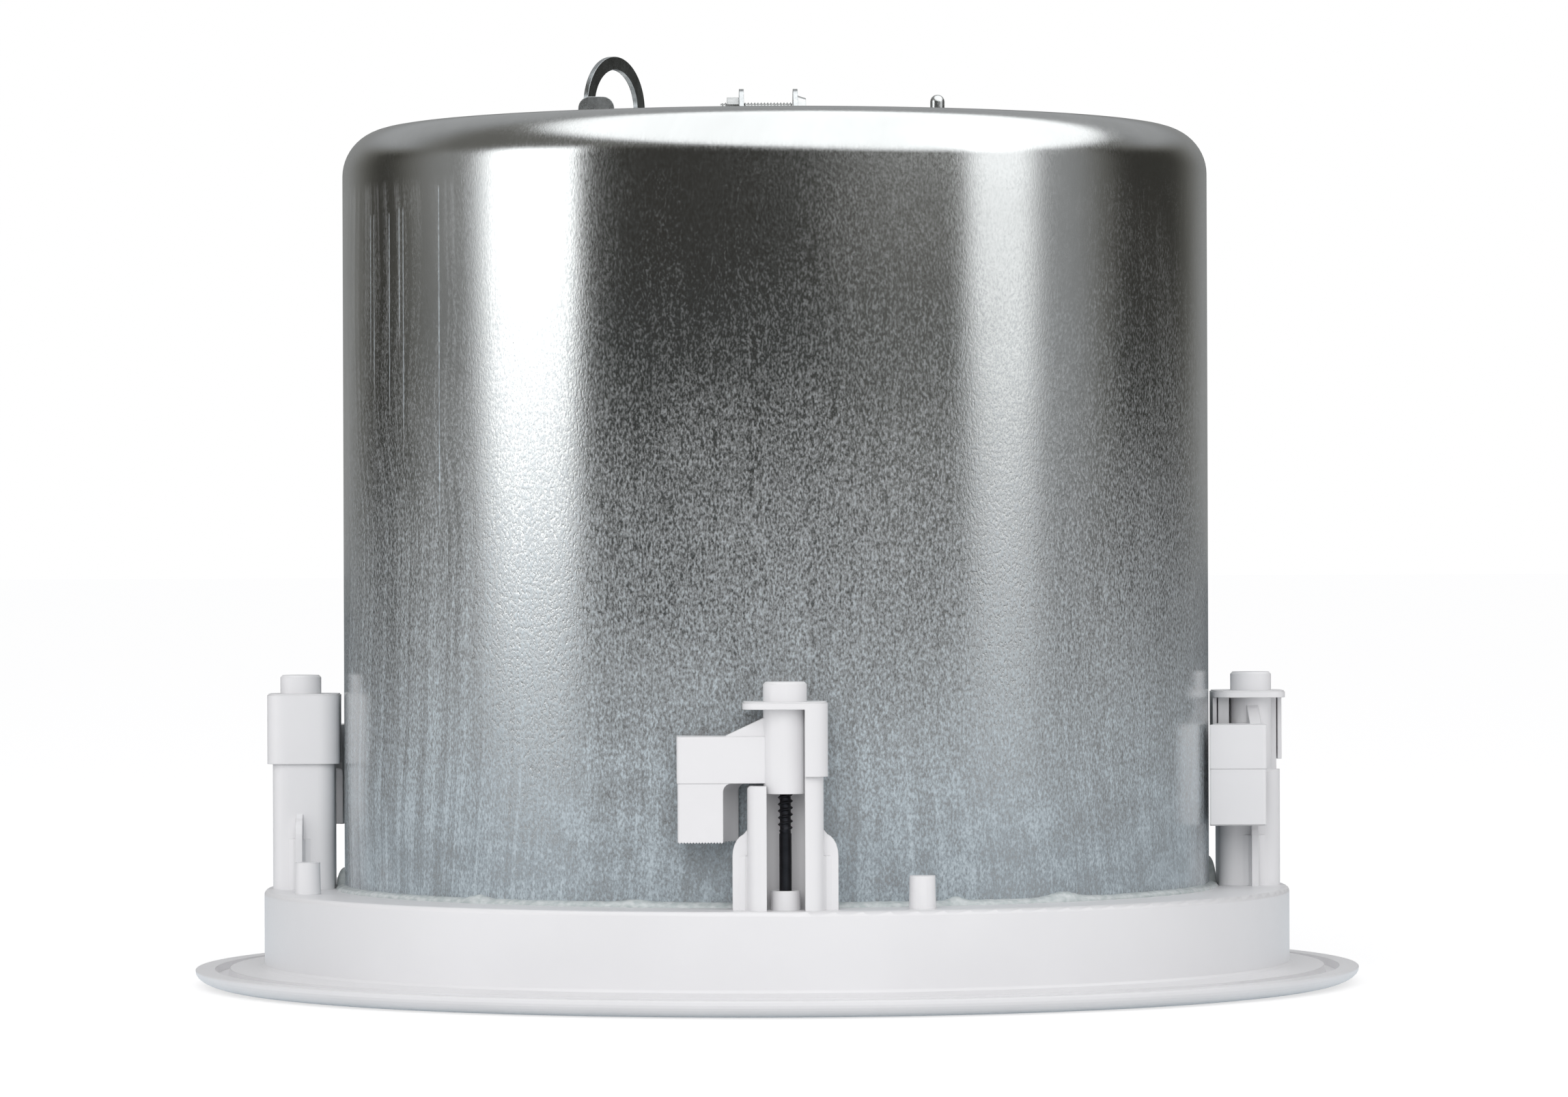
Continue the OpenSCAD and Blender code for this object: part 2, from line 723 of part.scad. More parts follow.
module cone() {
    steps = 6;
    pts = concat([[cone_rim_r + 0.3, cone_front_z]],
        [for (i = [0:steps]) [cone_rim_r - cone_run * i / steps, cone_z(i / steps)]]);
    color("darkslategray")
        rotate_extrude($fn = 120)
            polygon(concat(pts, [for (i = [steps + 1:-1:0]) [pts[i][0], pts[i][1] + cone_t]]));
}

module dust_cap() {
    cap_rim = coil_r + 4;
    sag = 6;
    ball_r = (cap_rim * cap_rim + sag * sag) / (2 * sag);
    seat_z = cone_z((cone_rim_r - cap_rim) / cone_run) - 0.4;
    color("black")
        intersection() {
            difference() {
                translate([0, 0, seat_z - sag + ball_r]) sphere(r = ball_r);
                translate([0, 0, seat_z - sag + ball_r]) sphere(r = ball_r - 0.6);
            }
            translate([0, 0, seat_z - sag - 1]) cylinder(r = cap_rim, h = sag + 1);
        }
}

module voice_coil() {
    color("peru") {
        ring(coil_r, coil_r - 0.25, cone_back_z - 1, plate_front_z + 8 - cone_back_z);
        ring(coil_r + 0.5, coil_r - eps, plate_front_z - coil_over, pole_plate_t + 2 * coil_over);
    }
}

module front_plate() {
    color(dark) ring(magnet_d / 2 - 4, gap_r, plate_front_z, pole_plate_t);
}

module magnet() {
    color("black") ring(magnet_d / 2, coil_r + 7, plate_front_z + pole_plate_t, magnet_t);
}

module back_plate() {
    color(dark) {
        translate([0, 0, plate_back_z]) cylinder(r = magnet_d / 2 - 4, h = pole_plate_t - 1);
        translate([0, 0, plate_back_z + pole_plate_t - 1 - eps])
            cylinder(r1 = magnet_d / 2 - 4, r2 = magnet_d / 2 - 5, h = 1);
        translate([0, 0, plate_front_z]) cylinder(r = pole_r, h = plate_back_z - plate_front_z + 1);
    }
}

// bridge across the woofer with the tweeter's pod in its middle
module tweeter_bridge() {
    reach = flange_r - 0.4;
    foot_from = opening_r + 0.4;
    riser = 2.2;
    color("black")
        difference() {
            union() {
                translate([-foot_from - riser, -bridge_w / 2, bridge_z]) cube([2 * (foot_from + riser), bridge_w, bridge_t]);
                for (s = [0, 180]) rotate(s) {
                    translate([foot_from, -bridge_w / 2, bridge_z]) cube([riser, bridge_w, flange_front - bridge_z]);
                    translate([foot_from, -bridge_w / 2, flange_front - bridge_t])
                        cube([reach - foot_from - 0.6, bridge_w, bridge_t]);
                }
                translate([0, 0, bridge_z]) cylinder(r = pod_r, h = pod_h);
            }
            translate([0, 0, bridge_z - 1]) cylinder(r = pod_r - 2, h = pod_h - 1);
            for (s = [0, 180]) rotate(s) translate([driver_screw_r, 0, 0])
                cylinder(d = driver_screw_d + 0.4, h = baffle_z);
        }
}

module tweeter_dome() {
    sag = 4;
    ball_r = (dome_r * dome_r + sag * sag) / (2 * sag);
    z = bridge_z + 6;
    color("silver") {
        intersection() {
            difference() {
                translate([0, 0, z - sag + ball_r]) sphere(r = ball_r);
                translate([0, 0, z - sag + ball_r]) sphere(r = ball_r - 0.4);
            }
            translate([0, 0, z - sag - 1]) cylinder(r = dome_r, h = sag + 1);
        }
        ring(pod_r - 2.1, dome_r - 0.6, z, 1.5);
    }
}

module tweeter_magnet() {
    color(dark) translate([0, 0, bridge_z + 7.5]) cylinder(r = pod_r - 6, h = pod_h - 9.5);
}

module tap_switch() {
    color(dark) rotate(knob_angle) translate([knob_axis_r, 0, 0]) {
        difference() {
            translate([-5.5, -7, floor_z]) cube([8, 14, 12]);
            translate([0, 0, floor_z - 1]) cylinder(d = 4 + 2 * running, h = 6);
        }
        difference() {
            translate([0, 0, baffle_z - 1.5]) cylinder(d = 7, h = floor_t + 1.5);
            translate([0, 0, baffle_z - 2]) cylinder(d = 4 + 2 * running, h = floor_t + 3);
        }
    }
}

module tap_knob() {
    color("black") rotate(knob_angle) translate([knob_axis_r, 0, 0]) {
        translate([0, 0, baffle_z - 2 - 3]) cylinder(d = 4, h = floor_t + 8);
        difference() {
            translate([0, 0, baffle_z - 8.5]) cylinder(r = knob_r, h = 6.5);
            for (s = [-1, 1]) translate([-knob_r, s * 4.2 - 2, baffle_z - 9]) cube([2 * knob_r, 4, 4]);
        }
    }
}

module damping_wadding() {
    wadding_t = 13.7;
    z0 = plate_front_z + 1;
    z1 = can_top - can_shoulder - 5;
    color("gainsboro") ring(can_in_r - loose, can_in_r - loose - wadding_t, z0, z1 - z0);
}

module transformer_core() {
    window_l = trafo_l / 2 - trafo_leg - trafo_mid / 2;
    color(dark)
        difference() {
            translate([trafo_x - trafo_l / 2, trafo_y - trafo_w / 2, inner_top - trafo_h])
                cube([trafo_l, trafo_w, trafo_h]);
            for (s = [-1, 1])
                translate([trafo_x + s * (trafo_mid + window_l) / 2, trafo_y, inner_top - trafo_h / 2])
                    cube([window_l, 2 * trafo_w, trafo_h - 2 * trafo_yoke], center = true);
            post_bores();
        }
}

module transformer_winding() {
    color("peru")
        translate([trafo_x, trafo_y, inner_top - trafo_h / 2])
            difference() {
                cube([trafo_l - 2 * trafo_leg - 2, trafo_w + 2 * trafo_coil_out,
                    trafo_h - 2 * trafo_yoke - 2 * trafo_fit], center = true);
                cube([trafo_mid + 2 * trafo_fit, trafo_w + 2 * trafo_fit, trafo_h], center = true);
            }
}

module crossover_board() {
    color("darkgreen")
        translate([board_x - board_l / 2, board_y - board_w / 2, board_z]) cube([board_l, board_w, board_t]);
    color("silver")
        difference() {
            for (p = board_posts()) translate([p[0], p[1], board_z + board_t - eps])
                cylinder(d = post_d, h = inner_top - board_z - board_t + eps);
            post_bores();
        }
}

// blind bores for the screws that come down through the can
module post_bores() {
    for (p = inner_screw_points()) translate([p[0], p[1], inner_top - post_bore_h])
        cylinder(d = post_bore_d, h = post_bore_h + 1);
}

function board_posts() = [for (s = [-1, 1]) [board_x + s * (board_l / 2 - post_edge), board_y]];
function trafo_posts() = [for (s = [-1, 1]) [trafo_x + s * (trafo_l / 2 - trafo_leg / 2), trafo_y]];
function inner_screw_points() = concat(board_posts(), trafo_posts());

module crossover_coil() {
    color("peru") translate([board_x - choke_r, board_y, 0]) ring(choke_r, choke_in_r, board_z - choke_h, choke_h);
}

module crossover_capacitors() {
    color("navy")
        for (s = [-1, 1])
            translate([board_x + capacitor_d + 1, board_y + s * 0.8 * capacitor_d, board_z - capacitor_h])
                cylinder(d = capacitor_d, h = capacitor_h);
}

module inner_screws() {
    color(dark)
        for (p = inner_screw_points())
            translate([p[0], p[1], 0]) {
                translate([0, 0, inner_top - post_bore_h + 0.5])
                    cylinder(d = post_bore_d - 2 * eps, h = recess_z - inner_top + post_bore_h - 0.4);
                translate([0, 0, recess_z]) cylinder(d1 = 5.5, d2 = 4, h = 1.7);
            }
}

module terminal_block() {
    pole_pitch = block_l / 4;
    color("green")
        translate([block_x - block_l / 2, block_y - block_w / 2, recess_z - block_h])
            difference() {
                cube([block_l, block_w, block_h]);
                for (i = [0:3]) translate([(i + 0.5) * pole_pitch, block_w / 2 + 3, -1])
                    cylinder(d = pole_pitch / 2, h = pole_pitch, $fn = 32);
                for (i = [0:3]) translate([(i + 0.25) * pole_pitch, -1, block_h / 3])
                    cube([pole_pitch / 2, block_w / 2, 5]);
            }
}

// height of the basket's outer slope at a radius
function basket_z(r) = flange_front + 8 + (opening_r - 0.8 - r) * (plate_front_z - 17 - flange_front)
    / (opening_r - 2.2 - basket_back_r);

// two leads from the crossover to the driver's basket
module driver_leads() {
    lead_d = 1.6;
    low = plate_back_z + pole_plate_t + 9;
    x0 = board_x + 3;
    x1 = basket_back_r + 4;
    end_z = basket_z(norm([x1, board_y + 2.4])) + 0.3;
    color("crimson")
        for (s = [-1, 1]) translate([0, board_y + s * 2.4, 0]) {
            translate([x0, 0, low]) cylinder(d = lead_d, h = board_z - low, $fn = 16);
            translate([x0, 0, low]) sphere(d = lead_d, $fn = 16);
            translate([x0, 0, low]) rotate([0, 90, 0]) cylinder(d = lead_d, h = x1 - x0, $fn = 16);
            translate([x1, 0, low]) sphere(d = lead_d, $fn = 16);
            translate([x1, 0, end_z]) cylinder(d = lead_d, h = low - end_z, $fn = 16);
        }
}

module wiring_cover() {
    color(steel) {
        difference() {
            translate([0, 0, recess_z]) linear_extrude(cover_t) round_rect(cover_l, cover_w, 6);
            translate([squeeze_mid_x, cable_y, recess_z - 1]) cylinder(d = cable_hole_d, h = cover_t + 2);
            translate([stud_x, 0, recess_z - 1]) cylinder(d = stud_d + 0.4, h = cover_t + 2);
        }
        translate([ring_x, ring_y, 0]) rotate(ring_turn) lanced_bridge();
        upright_tab();
    }
}

// strap raised out of the cover over the ring's lowest stretch
module lanced_bridge() {
    for (s = [-1, 1])
        translate([-bridge_strap_w / 2, s * bridge_half - 0.5, cover_top - eps])
            cube([bridge_strap_w, 1, bridge_under + 1 - cover_top]);
    translate([-bridge_strap_w / 2, -bridge_half, bridge_under]) cube([bridge_strap_w, 2 * bridge_half, 1]);
}

module upright_tab() {
    translate([tab_x, tab_y, cover_top - eps])
        rotate([90, 0, 0])
            linear_extrude(tab_t) {
                translate([-tab_w / 2, 0]) square([tab_w, tab_h - tab_corner]);
                translate([-tab_w / 2 + tab_corner, 0]) square([tab_w - 2 * tab_corner, tab_h]);
                for (s = [-1, 1]) translate([s * (tab_w / 2 - tab_corner), tab_h - tab_corner]) circle(r = tab_corner);
            }
}

module cover_stud() {
    color(steel) translate([stud_x, 0, 0]) {
        translate([0, 0, inner_top - 1])
            cylinder(d = stud_d - 2 * eps, h = stud_top - stud_d / 2 - inner_top + 1);
        translate([0, 0, stud_top - stud_d / 2]) sphere(d = stud_d - 2 * eps);
        translate([0, 0, recess_z - can_t - 1.5]) cylinder(d = stud_d + 3, h = 1.5);
    }
}

module cover_nut() {
    color(steel)
        difference() {
            translate([stud_x, 0, cover_top]) cylinder(d = 6.4, h = 2.4, $fn = 6);
            translate([stud_x, 0, cover_top - 1]) cylinder(d = stud_d, h = 5);
        }
}

// strap folded up into two ears that grip the cable when the screw draws them together
module cable_clamp() {
    base_l = squeeze_gap + 2 * ear_t;
    base_w = ear_r - ear_front_y;
    color(steel)
        difference() {
            union() {
                translate([squeeze_mid_x - base_l / 2, ear_front_y, cover_top]) cube([base_l, base_w, strap_t]);
                for (s = [-1, 1])
                    translate([squeeze_mid_x + s * (squeeze_gap + ear_t) / 2, 0, 0])
                        rotate([90, 0, 90])
                            linear_extrude(ear_t, center = true) ear_outline();
            }
            translate([squeeze_mid_x, cable_y, cover_top - 1]) cylinder(d = cable_hole_d, h = strap_t + 2);
            translate([squeeze_mid_x - base_l, 0, squeeze_z]) rotate([0, 90, 0])
                cylinder(d = squeeze_screw_d + 0.1, h = 2 * base_l);
        }
}

module ear_outline() {
    translate([0, squeeze_z]) circle(r = ear_r);
    polygon([[ear_front_y, cover_top], [ear_r, cover_top], [ear_r, squeeze_z],
        [-ear_r * 0.6, squeeze_z + ear_r * 0.8], [ear_front_y, cover_top + 5]]);
}

module cable_clamp_screw() {
    x0 = squeeze_mid_x - squeeze_gap / 2 - ear_t;
    x1 = squeeze_mid_x + squeeze_gap / 2 + ear_t;
    color("silver") translate([0, 0, squeeze_z]) rotate([0, 90, 0]) {
        translate([0, 0, x0 - 4]) cylinder(d = squeeze_screw_d, h = x1 - x0 + 4);
        difference() {
            translate([0, 0, x1]) cylinder(d1 = 7, d2 = 5.8, h = 1.8);
            translate([-0.5, -far / 2, x1 + 1.1]) cube([1, far, 2]);
        }
        translate([0, 0, x0 - 2.6])
            difference() {
                cylinder(d = 6.2, h = 2.6, $fn = 6);
                translate([0, 0, -1]) cylinder(d = squeeze_screw_d - 2 * eps, h = 5);
            }
    }
}

module safety_ring() {
    color(dark)
        translate([ring_x, ring_y, ring_mid_z])
            rotate([0, 0, ring_turn])
                rotate([90, 0, 0])
                    difference() {
                        cylinder(d = ring_d, h = ring_t, center = true);
                        cylinder(r = ring_in_r, h = ring_t + 2, center = true);
                    }
}

front_frame();
grille();
back_can();
sealant_bead();
can_screws();
at_clamp(1) clamp_cap();  // clamp_cap_1
at_clamp(2) clamp_cap();  // clamp_cap_2
at_clamp(3) clamp_cap();  // clamp_cap_3
at_clamp(4) clamp_cap();  // clamp_cap_4
at_clamp(1) clamp_dog();  // clamp_dog_1
at_clamp(2) clamp_dog();  // clamp_dog_2
at_clamp(3) clamp_dog();  // clamp_dog_3
at_clamp(4) clamp_dog();  // clamp_dog_4
at_clamp(1) clamp_screw();  // clamp_screw_1
at_clamp(2) clamp_screw();  // clamp_screw_2
at_clamp(3) clamp_screw();  // clamp_screw_3
at_clamp(4) clamp_screw();  // clamp_screw_4
driver_gasket();
driver_basket();
driver_screws();
surround();
spider();
cone();
dust_cap();
voice_coil();
front_plate();
magnet();
back_plate();
tweeter_bridge();
tweeter_dome();
tweeter_magnet();
tap_switch();
tap_knob();
damping_wadding();
transformer_core();
transformer_winding();
crossover_board();
crossover_coil();
crossover_capacitors();
inner_screws();
terminal_block();
driver_leads();
wiring_cover();
cover_stud();
cover_nut();
cable_clamp();
cable_clamp_screw();
safety_ring();
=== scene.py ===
import math

import bmesh
import bpy
from mathutils import Matrix, Vector, noise


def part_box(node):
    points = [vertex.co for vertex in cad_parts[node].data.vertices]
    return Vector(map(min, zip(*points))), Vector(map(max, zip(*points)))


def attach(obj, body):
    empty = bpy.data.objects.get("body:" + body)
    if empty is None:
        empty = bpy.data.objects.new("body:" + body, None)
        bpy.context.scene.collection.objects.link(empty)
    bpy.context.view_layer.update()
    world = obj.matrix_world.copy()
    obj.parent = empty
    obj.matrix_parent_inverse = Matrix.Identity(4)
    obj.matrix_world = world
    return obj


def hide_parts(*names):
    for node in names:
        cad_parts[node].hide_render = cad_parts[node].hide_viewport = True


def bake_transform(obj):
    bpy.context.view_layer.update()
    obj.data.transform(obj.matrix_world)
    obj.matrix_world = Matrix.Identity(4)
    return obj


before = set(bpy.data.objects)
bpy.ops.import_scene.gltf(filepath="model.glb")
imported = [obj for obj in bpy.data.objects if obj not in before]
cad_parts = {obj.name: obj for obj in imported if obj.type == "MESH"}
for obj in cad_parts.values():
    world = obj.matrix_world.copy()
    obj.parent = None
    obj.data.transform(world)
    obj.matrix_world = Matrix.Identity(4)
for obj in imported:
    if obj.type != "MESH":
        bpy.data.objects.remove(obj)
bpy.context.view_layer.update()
MM = 0.001


# Node helpers

def new_finish(name, colour, metallic=0.0, roughness=0.5, ior=1.5, specular=0.5):
    """A material with one Principled shader; returns (material, node tree, shader)."""
    mat = bpy.data.materials.new(name)
    mat.use_nodes = True
    shader = mat.node_tree.nodes["Principled BSDF"]
    shader.inputs["Base Color"].default_value = (*colour, 1)
    shader.inputs["Metallic"].default_value = metallic
    shader.inputs["Roughness"].default_value = roughness
    shader.inputs["IOR"].default_value = ior
    shader.inputs["Specular IOR Level"].default_value = specular
    return mat, mat.node_tree, shader


def object_point(tree, stretch=(1, 1, 1), shift=(0, 0, 0)):
    """The surface point in the object's frame, in metres, scaled along each axis."""
    coord = tree.nodes.new("ShaderNodeTexCoord")
    mapping = tree.nodes.new("ShaderNodeMapping")
    mapping.inputs["Scale"].default_value = stretch
    mapping.inputs["Location"].default_value = shift
    tree.links.new(coord.outputs["Object"], mapping.inputs["Vector"])
    return mapping.outputs["Vector"]


def noise_value(tree, stretch, detail=3.0, roughness=0.5, distortion=0.0, shift=(0, 0, 0)):
    """Noise from 0 to 1 with the given cells per metre along each axis."""
    node = tree.nodes.new("ShaderNodeTexNoise")
    node.inputs["Scale"].default_value = 1
    node.inputs["Detail"].default_value = detail
    node.inputs["Roughness"].default_value = roughness
    node.inputs["Distortion"].default_value = distortion
    tree.links.new(object_point(tree, stretch, shift), node.inputs["Vector"])
    return node.outputs["Fac"]


def remap(tree, value, low, high, to_low, to_high, smooth=False):
    """The value carried from one range to another, held at both ends."""
    node = tree.nodes.new("ShaderNodeMapRange")
    if smooth:
        node.interpolation_type = "SMOOTHSTEP"
    tree.links.new(value, node.inputs["Value"])
    for key, number in (("From Min", low), ("From Max", high), ("To Min", to_low), ("To Max", to_high)):
        node.inputs[key].default_value = number
    return node.outputs["Result"]


def calc(tree, kind, a, b=0.0, clamp=False):
    """A Math node; a and b are numbers or sockets."""
    node = tree.nodes.new("ShaderNodeMath")
    node.operation = kind
    node.use_clamp = clamp
    for socket, value in zip(node.inputs, (a, b)):
        if isinstance(value, (int, float)):
            socket.default_value = value
        else:
            tree.links.new(value, socket)
    return node.outputs[0]


def mix_colour(tree, factor, a, b):
    """Mix of two colours, each a triple or a socket."""
    node = tree.nodes.new("ShaderNodeMix")
    node.data_type = "RGBA"
    if isinstance(factor, (int, float)):
        node.inputs[0].default_value = factor
    else:
        tree.links.new(factor, node.inputs[0])
    for socket, value in ((node.inputs[6], a), (node.inputs[7], b)):
        if isinstance(value, tuple):
            socket.default_value = (*value, 1)
        else:
            tree.links.new(value, socket)
    return node.outputs[2]


def add_bump(tree, shader, height, strength, distance, edge=0.0):
    """Bump from a height socket, over rounded edges where edge is a radius in metres."""
    bump = tree.nodes.new("ShaderNodeBump")
    bump.inputs["Strength"].default_value = strength
    bump.inputs["Distance"].default_value = distance
    tree.links.new(height, bump.inputs["Height"])
    if edge:
        bevel = tree.nodes.new("ShaderNodeBevel")
        bevel.samples = 4
        bevel.inputs["Radius"].default_value = edge
        tree.links.new(bevel.outputs["Normal"], bump.inputs["Normal"])
    tree.links.new(bump.outputs["Normal"], shader.inputs["Normal"])


def paint(tree, shader, value, low, high, dark, light):
    """Base colour from dark to light as a value goes from low to high."""
    factor = remap(tree, value, low, high, 0, 1)
    tree.links.new(mix_colour(tree, factor, dark, light), shader.inputs["Base Color"])


def polish(tree, shader, value, low, high, smoothest, roughest):
    """Roughness from smoothest to roughest as a value goes from low to high."""
    tree.links.new(remap(tree, value, low, high, smoothest, roughest), shader.inputs["Roughness"])


# Finishes

def moulded(name, colour, roughness, grain=1400, depth=0.00002, edge=0.0003, mottle=0.03, specular=0.5):
    """Moulded plastic or paint: faint clouding, a fine grain and softened edges."""
    mat, tree, shader = new_finish(name, colour, roughness=roughness, specular=specular)
    clouds = noise_value(tree, (35, 35, 35), detail=4)
    darker = tuple(c * (1 - mottle) for c in colour)
    paint(tree, shader, clouds, 0.35, 0.65, darker, colour)
    fine = noise_value(tree, (grain, grain, grain), detail=2)
    polish(tree, shader, fine, 0.3, 0.7, roughness - 0.05, roughness + 0.07)
    add_bump(tree, shader, fine, 0.35, depth, edge)
    return mat


def cylinder_point(tree):
    """Azimuth from the front in degrees, and height in metres, of the surface point."""
    axes = tree.nodes.new("ShaderNodeSeparateXYZ")
    tree.links.new(object_point(tree), axes.inputs[0])
    around = calc(tree, "ARCTAN2", axes.outputs["X"], calc(tree, "MULTIPLY", axes.outputs["Y"], -1.0))
    return calc(tree, "MULTIPLY", around, 180 / math.pi), axes.outputs["Z"]


def drawn_zinc(name, colour, roughness):
    """Zinc-plated sheet: spangled clouds and a fine speckle."""
    mat, tree, shader = new_finish(name, colour, metallic=1.0, roughness=roughness)
    speckle = noise_value(tree, (2500, 2500, 2500), detail=2)
    clouds = noise_value(tree, (220, 220, 140), detail=4, roughness=0.6, distortion=0.4)
    spangle = remap(tree, clouds, 0.3, 0.7, 0.15, 0.85)
    tone = calc(tree, "ADD", spangle, remap(tree, speckle, 0.3, 0.7, -0.2, 0.2), True)
    pale = tuple(min(1.0, c * 1.2) for c in colour)
    deep = tuple(c * 0.7 for c in colour)
    tree.links.new(mix_colour(tree, tone, deep, pale), shader.inputs["Base Color"])
    polish(tree, shader, clouds, 0.3, 0.7, roughness - 0.04, roughness + 0.08)
    add_bump(tree, shader, speckle, 0.3, 0.00003, 0.0002)
    return mat


# Score lines on the can: azimuth from the front in degrees, upper end and lower end in mm
SCORES = (
    (-67.0, 164, 128),
    (-65.8, 164, 124),
    (-61.0, 164, 118),
    (-58.3, 165, 132),
    (-57.3, 165, 112),
    (-49.3, 169, 96),
)


def drawn_can():
    """Deep-drawn zinc sheet: bright above the draw line, duller, streaked and stained towards the foot, and
    paler and bluer there by a painted reflection of the bright floor.
    """
    # heights in metres where each band of the wall starts and ends
    dull_and_reflection_from, dull_and_reflection_to = 0.162, 0.030
    foot_from, foot_to = 0.066, 0.026
    bright_above, worked_below = 0.171, 0.168
    score_half, score_edge, score_fade = 0.06, 0.14, 12
    mat, tree, shader = new_finish("drawn_can", (0.6, 0.6, 0.59), metallic=1.0)
    azimuth, height = cylinder_point(tree)
    speckle = noise_value(tree, (2300, 2300, 1250), detail=2, roughness=0.6)
    clouds = noise_value(tree, (22, 22, 14), detail=5, roughness=0.6, distortion=0.4)
    stains = noise_value(tree, (95, 95, 120), detail=5, roughness=0.65, shift=(7, 1, 4))
    sway = remap(tree, noise_value(tree, (9, 9, 16), detail=1, shift=(2, 8, 3)), 0.3, 0.7, -0.004, 0.004)
    warped = tree.nodes.new("ShaderNodeCombineXYZ")
    swayed = calc(tree, "ADD", calc(tree, "MULTIPLY", azimuth, 0.0016), sway)
    tree.links.new(swayed, warped.inputs["X"])
    tree.links.new(calc(tree, "MULTIPLY", height, 0.012), warped.inputs["Z"])
    streaks = tree.nodes.new("ShaderNodeTexNoise")
    streaks.inputs["Scale"].default_value = 700
    streaks.inputs["Detail"].default_value = 4
    tree.links.new(warped.outputs[0], streaks.inputs["Vector"])
    streaks = remap(tree, streaks.outputs["Fac"], 0.3, 0.7, -1, 1)
    # the drawn wall grows duller from the draw line down to the foot; the pale bluish colour it takes on
    # there is a painted reflection of the bright floor
    depth = remap(tree, height, dull_and_reflection_from, dull_and_reflection_to, 0, 1)
    dull_and_painted_reflection = calc(tree, "POWER", depth, 1.9)
    foot = remap(tree, height, foot_from, foot_to, 0, 1, smooth=True)
    left = remap(tree, azimuth, -25, -45, 0, 1, smooth=True)
    worked = remap(tree, height, bright_above, worked_below, 0, 1)
    patchy = remap(tree, speckle, 0.32, 0.68, -0.36, 0.36)
    patchy = calc(tree, "MULTIPLY", patchy, remap(tree, depth, 0.0, 0.6, 0.16, 1.0))
    where = calc(tree, "ADD", calc(tree, "MULTIPLY", foot, 0.12), calc(tree, "MULTIPLY", left, 0.10))
    grooved = calc(tree, "MULTIPLY", streaks, where)
    grooved = calc(tree, "ADD", grooved, calc(tree, "MULTIPLY", streaks, 0.03))
    stained = calc(tree, "MULTIPLY", remap(tree, stains, 0.35, 0.65, -0.22, 0.22), foot)
    dull_and_painted_reflection = calc(tree, "ADD", dull_and_painted_reflection, remap(tree, clouds, 0.3, 0.7, -0.06, 0.06))
    for extra in (patchy, grooved, stained):
        dull_and_painted_reflection = calc(tree, "ADD", dull_and_painted_reflection, extra)
    dull_and_painted_reflection = calc(tree, "MULTIPLY", dull_and_painted_reflection, worked)
    for angle, high, low in SCORES:
        aside = calc(tree, "ABSOLUTE", calc(tree, "SUBTRACT", azimuth, angle))
        near = remap(tree, aside, score_half, score_edge, 1, 0)
        under = remap(tree, height, high * MM, (high - 1) * MM, 0, 1)
        over = remap(tree, height, low * MM, (low + score_fade) * MM, 0, 1)
        line = calc(tree, "MULTIPLY", near, calc(tree, "MULTIPLY", under, over))
        dull_and_painted_reflection = calc(tree, "ADD", dull_and_painted_reflection, calc(tree, "MULTIPLY", line, 0.8))
    dull_and_painted_reflection = calc(tree, "MAXIMUM", calc(tree, "MINIMUM", dull_and_painted_reflection, 1.0), 0.0)
    tree.links.new(calc(tree, "SUBTRACT", 1.0, dull_and_painted_reflection), shader.inputs["Metallic"])
    tone = remap(tree, speckle, 0.3, 0.7, 0.05, 0.95)
    grooves = calc(tree, "ADD", calc(tree, "MULTIPLY", left, 0.22), calc(tree, "MULTIPLY", foot, 0.12))
    tone = calc(tree, "ADD", tone, calc(tree, "MULTIPLY", streaks, calc(tree, "ADD", grooves, 0.08)))
    tone = calc(tree, "ADD", tone, calc(tree, "MULTIPLY", stained, 1.1))
    # pale bluish colour of the duller wall: real scores, streaks and stains, and towards the foot a painted
    # reflection of the bright floor
    pale_and_painted_reflection = mix_colour(tree, calc(tree, "ADD", tone, 0.0, True), (0.155, 0.18, 0.20), (0.47, 0.53, 0.565))
    metal = mix_colour(tree, remap(tree, clouds, 0.35, 0.65, 0, 1), (0.55, 0.55, 0.54), (0.64, 0.64, 0.63))
    tree.links.new(mix_colour(tree, dull_and_painted_reflection, metal, pale_and_painted_reflection), shader.inputs["Base Color"])
    polish(tree, shader, speckle, 0.3, 0.7, 0.13, 0.22)
    relief = calc(tree, "ADD", speckle, calc(tree, "MULTIPLY", calc(tree, "MULTIPLY", streaks, foot), 0.15))
    relief = calc(tree, "MULTIPLY", relief, remap(tree, depth, 0.0, 0.7, 0.25, 1.0))
    add_bump(tree, shader, relief, 1.0, 0.000035)
    return mat


def turned_metal(name, colour, roughness, edge=0.0002):
    """Plated or machined small metal parts with faint wear."""
    mat, tree, shader = new_finish(name, colour, metallic=1.0, roughness=roughness)
    wear = noise_value(tree, (420, 420, 420), detail=4, roughness=0.65)
    deep = tuple(c * 0.78 for c in colour)
    paint(tree, shader, wear, 0.3, 0.7, deep, colour)
    polish(tree, shader, wear, 0.3, 0.7, roughness - 0.05, roughness + 0.08)
    add_bump(tree, shader, wear, 0.2, 0.00002, edge)
    return mat


def clear_sealant():
    """Translucent silicone with small ripples."""
    mat, tree, shader = new_finish("sealant", (0.72, 0.77, 0.77), roughness=0.22, ior=1.41)
    lumps = noise_value(tree, (700, 700, 900), detail=3)
    paint(tree, shader, lumps, 0.35, 0.65, (0.60, 0.66, 0.66), (0.80, 0.84, 0.84))
    shader.inputs["Subsurface Weight"].default_value = 0.35
    shader.inputs["Subsurface Radius"].default_value = (0.004, 0.004, 0.004)
    shader.inputs["Transmission Weight"].default_value = 0.25
    add_bump(tree, shader, lumps, 0.4, 0.0002)
    return mat


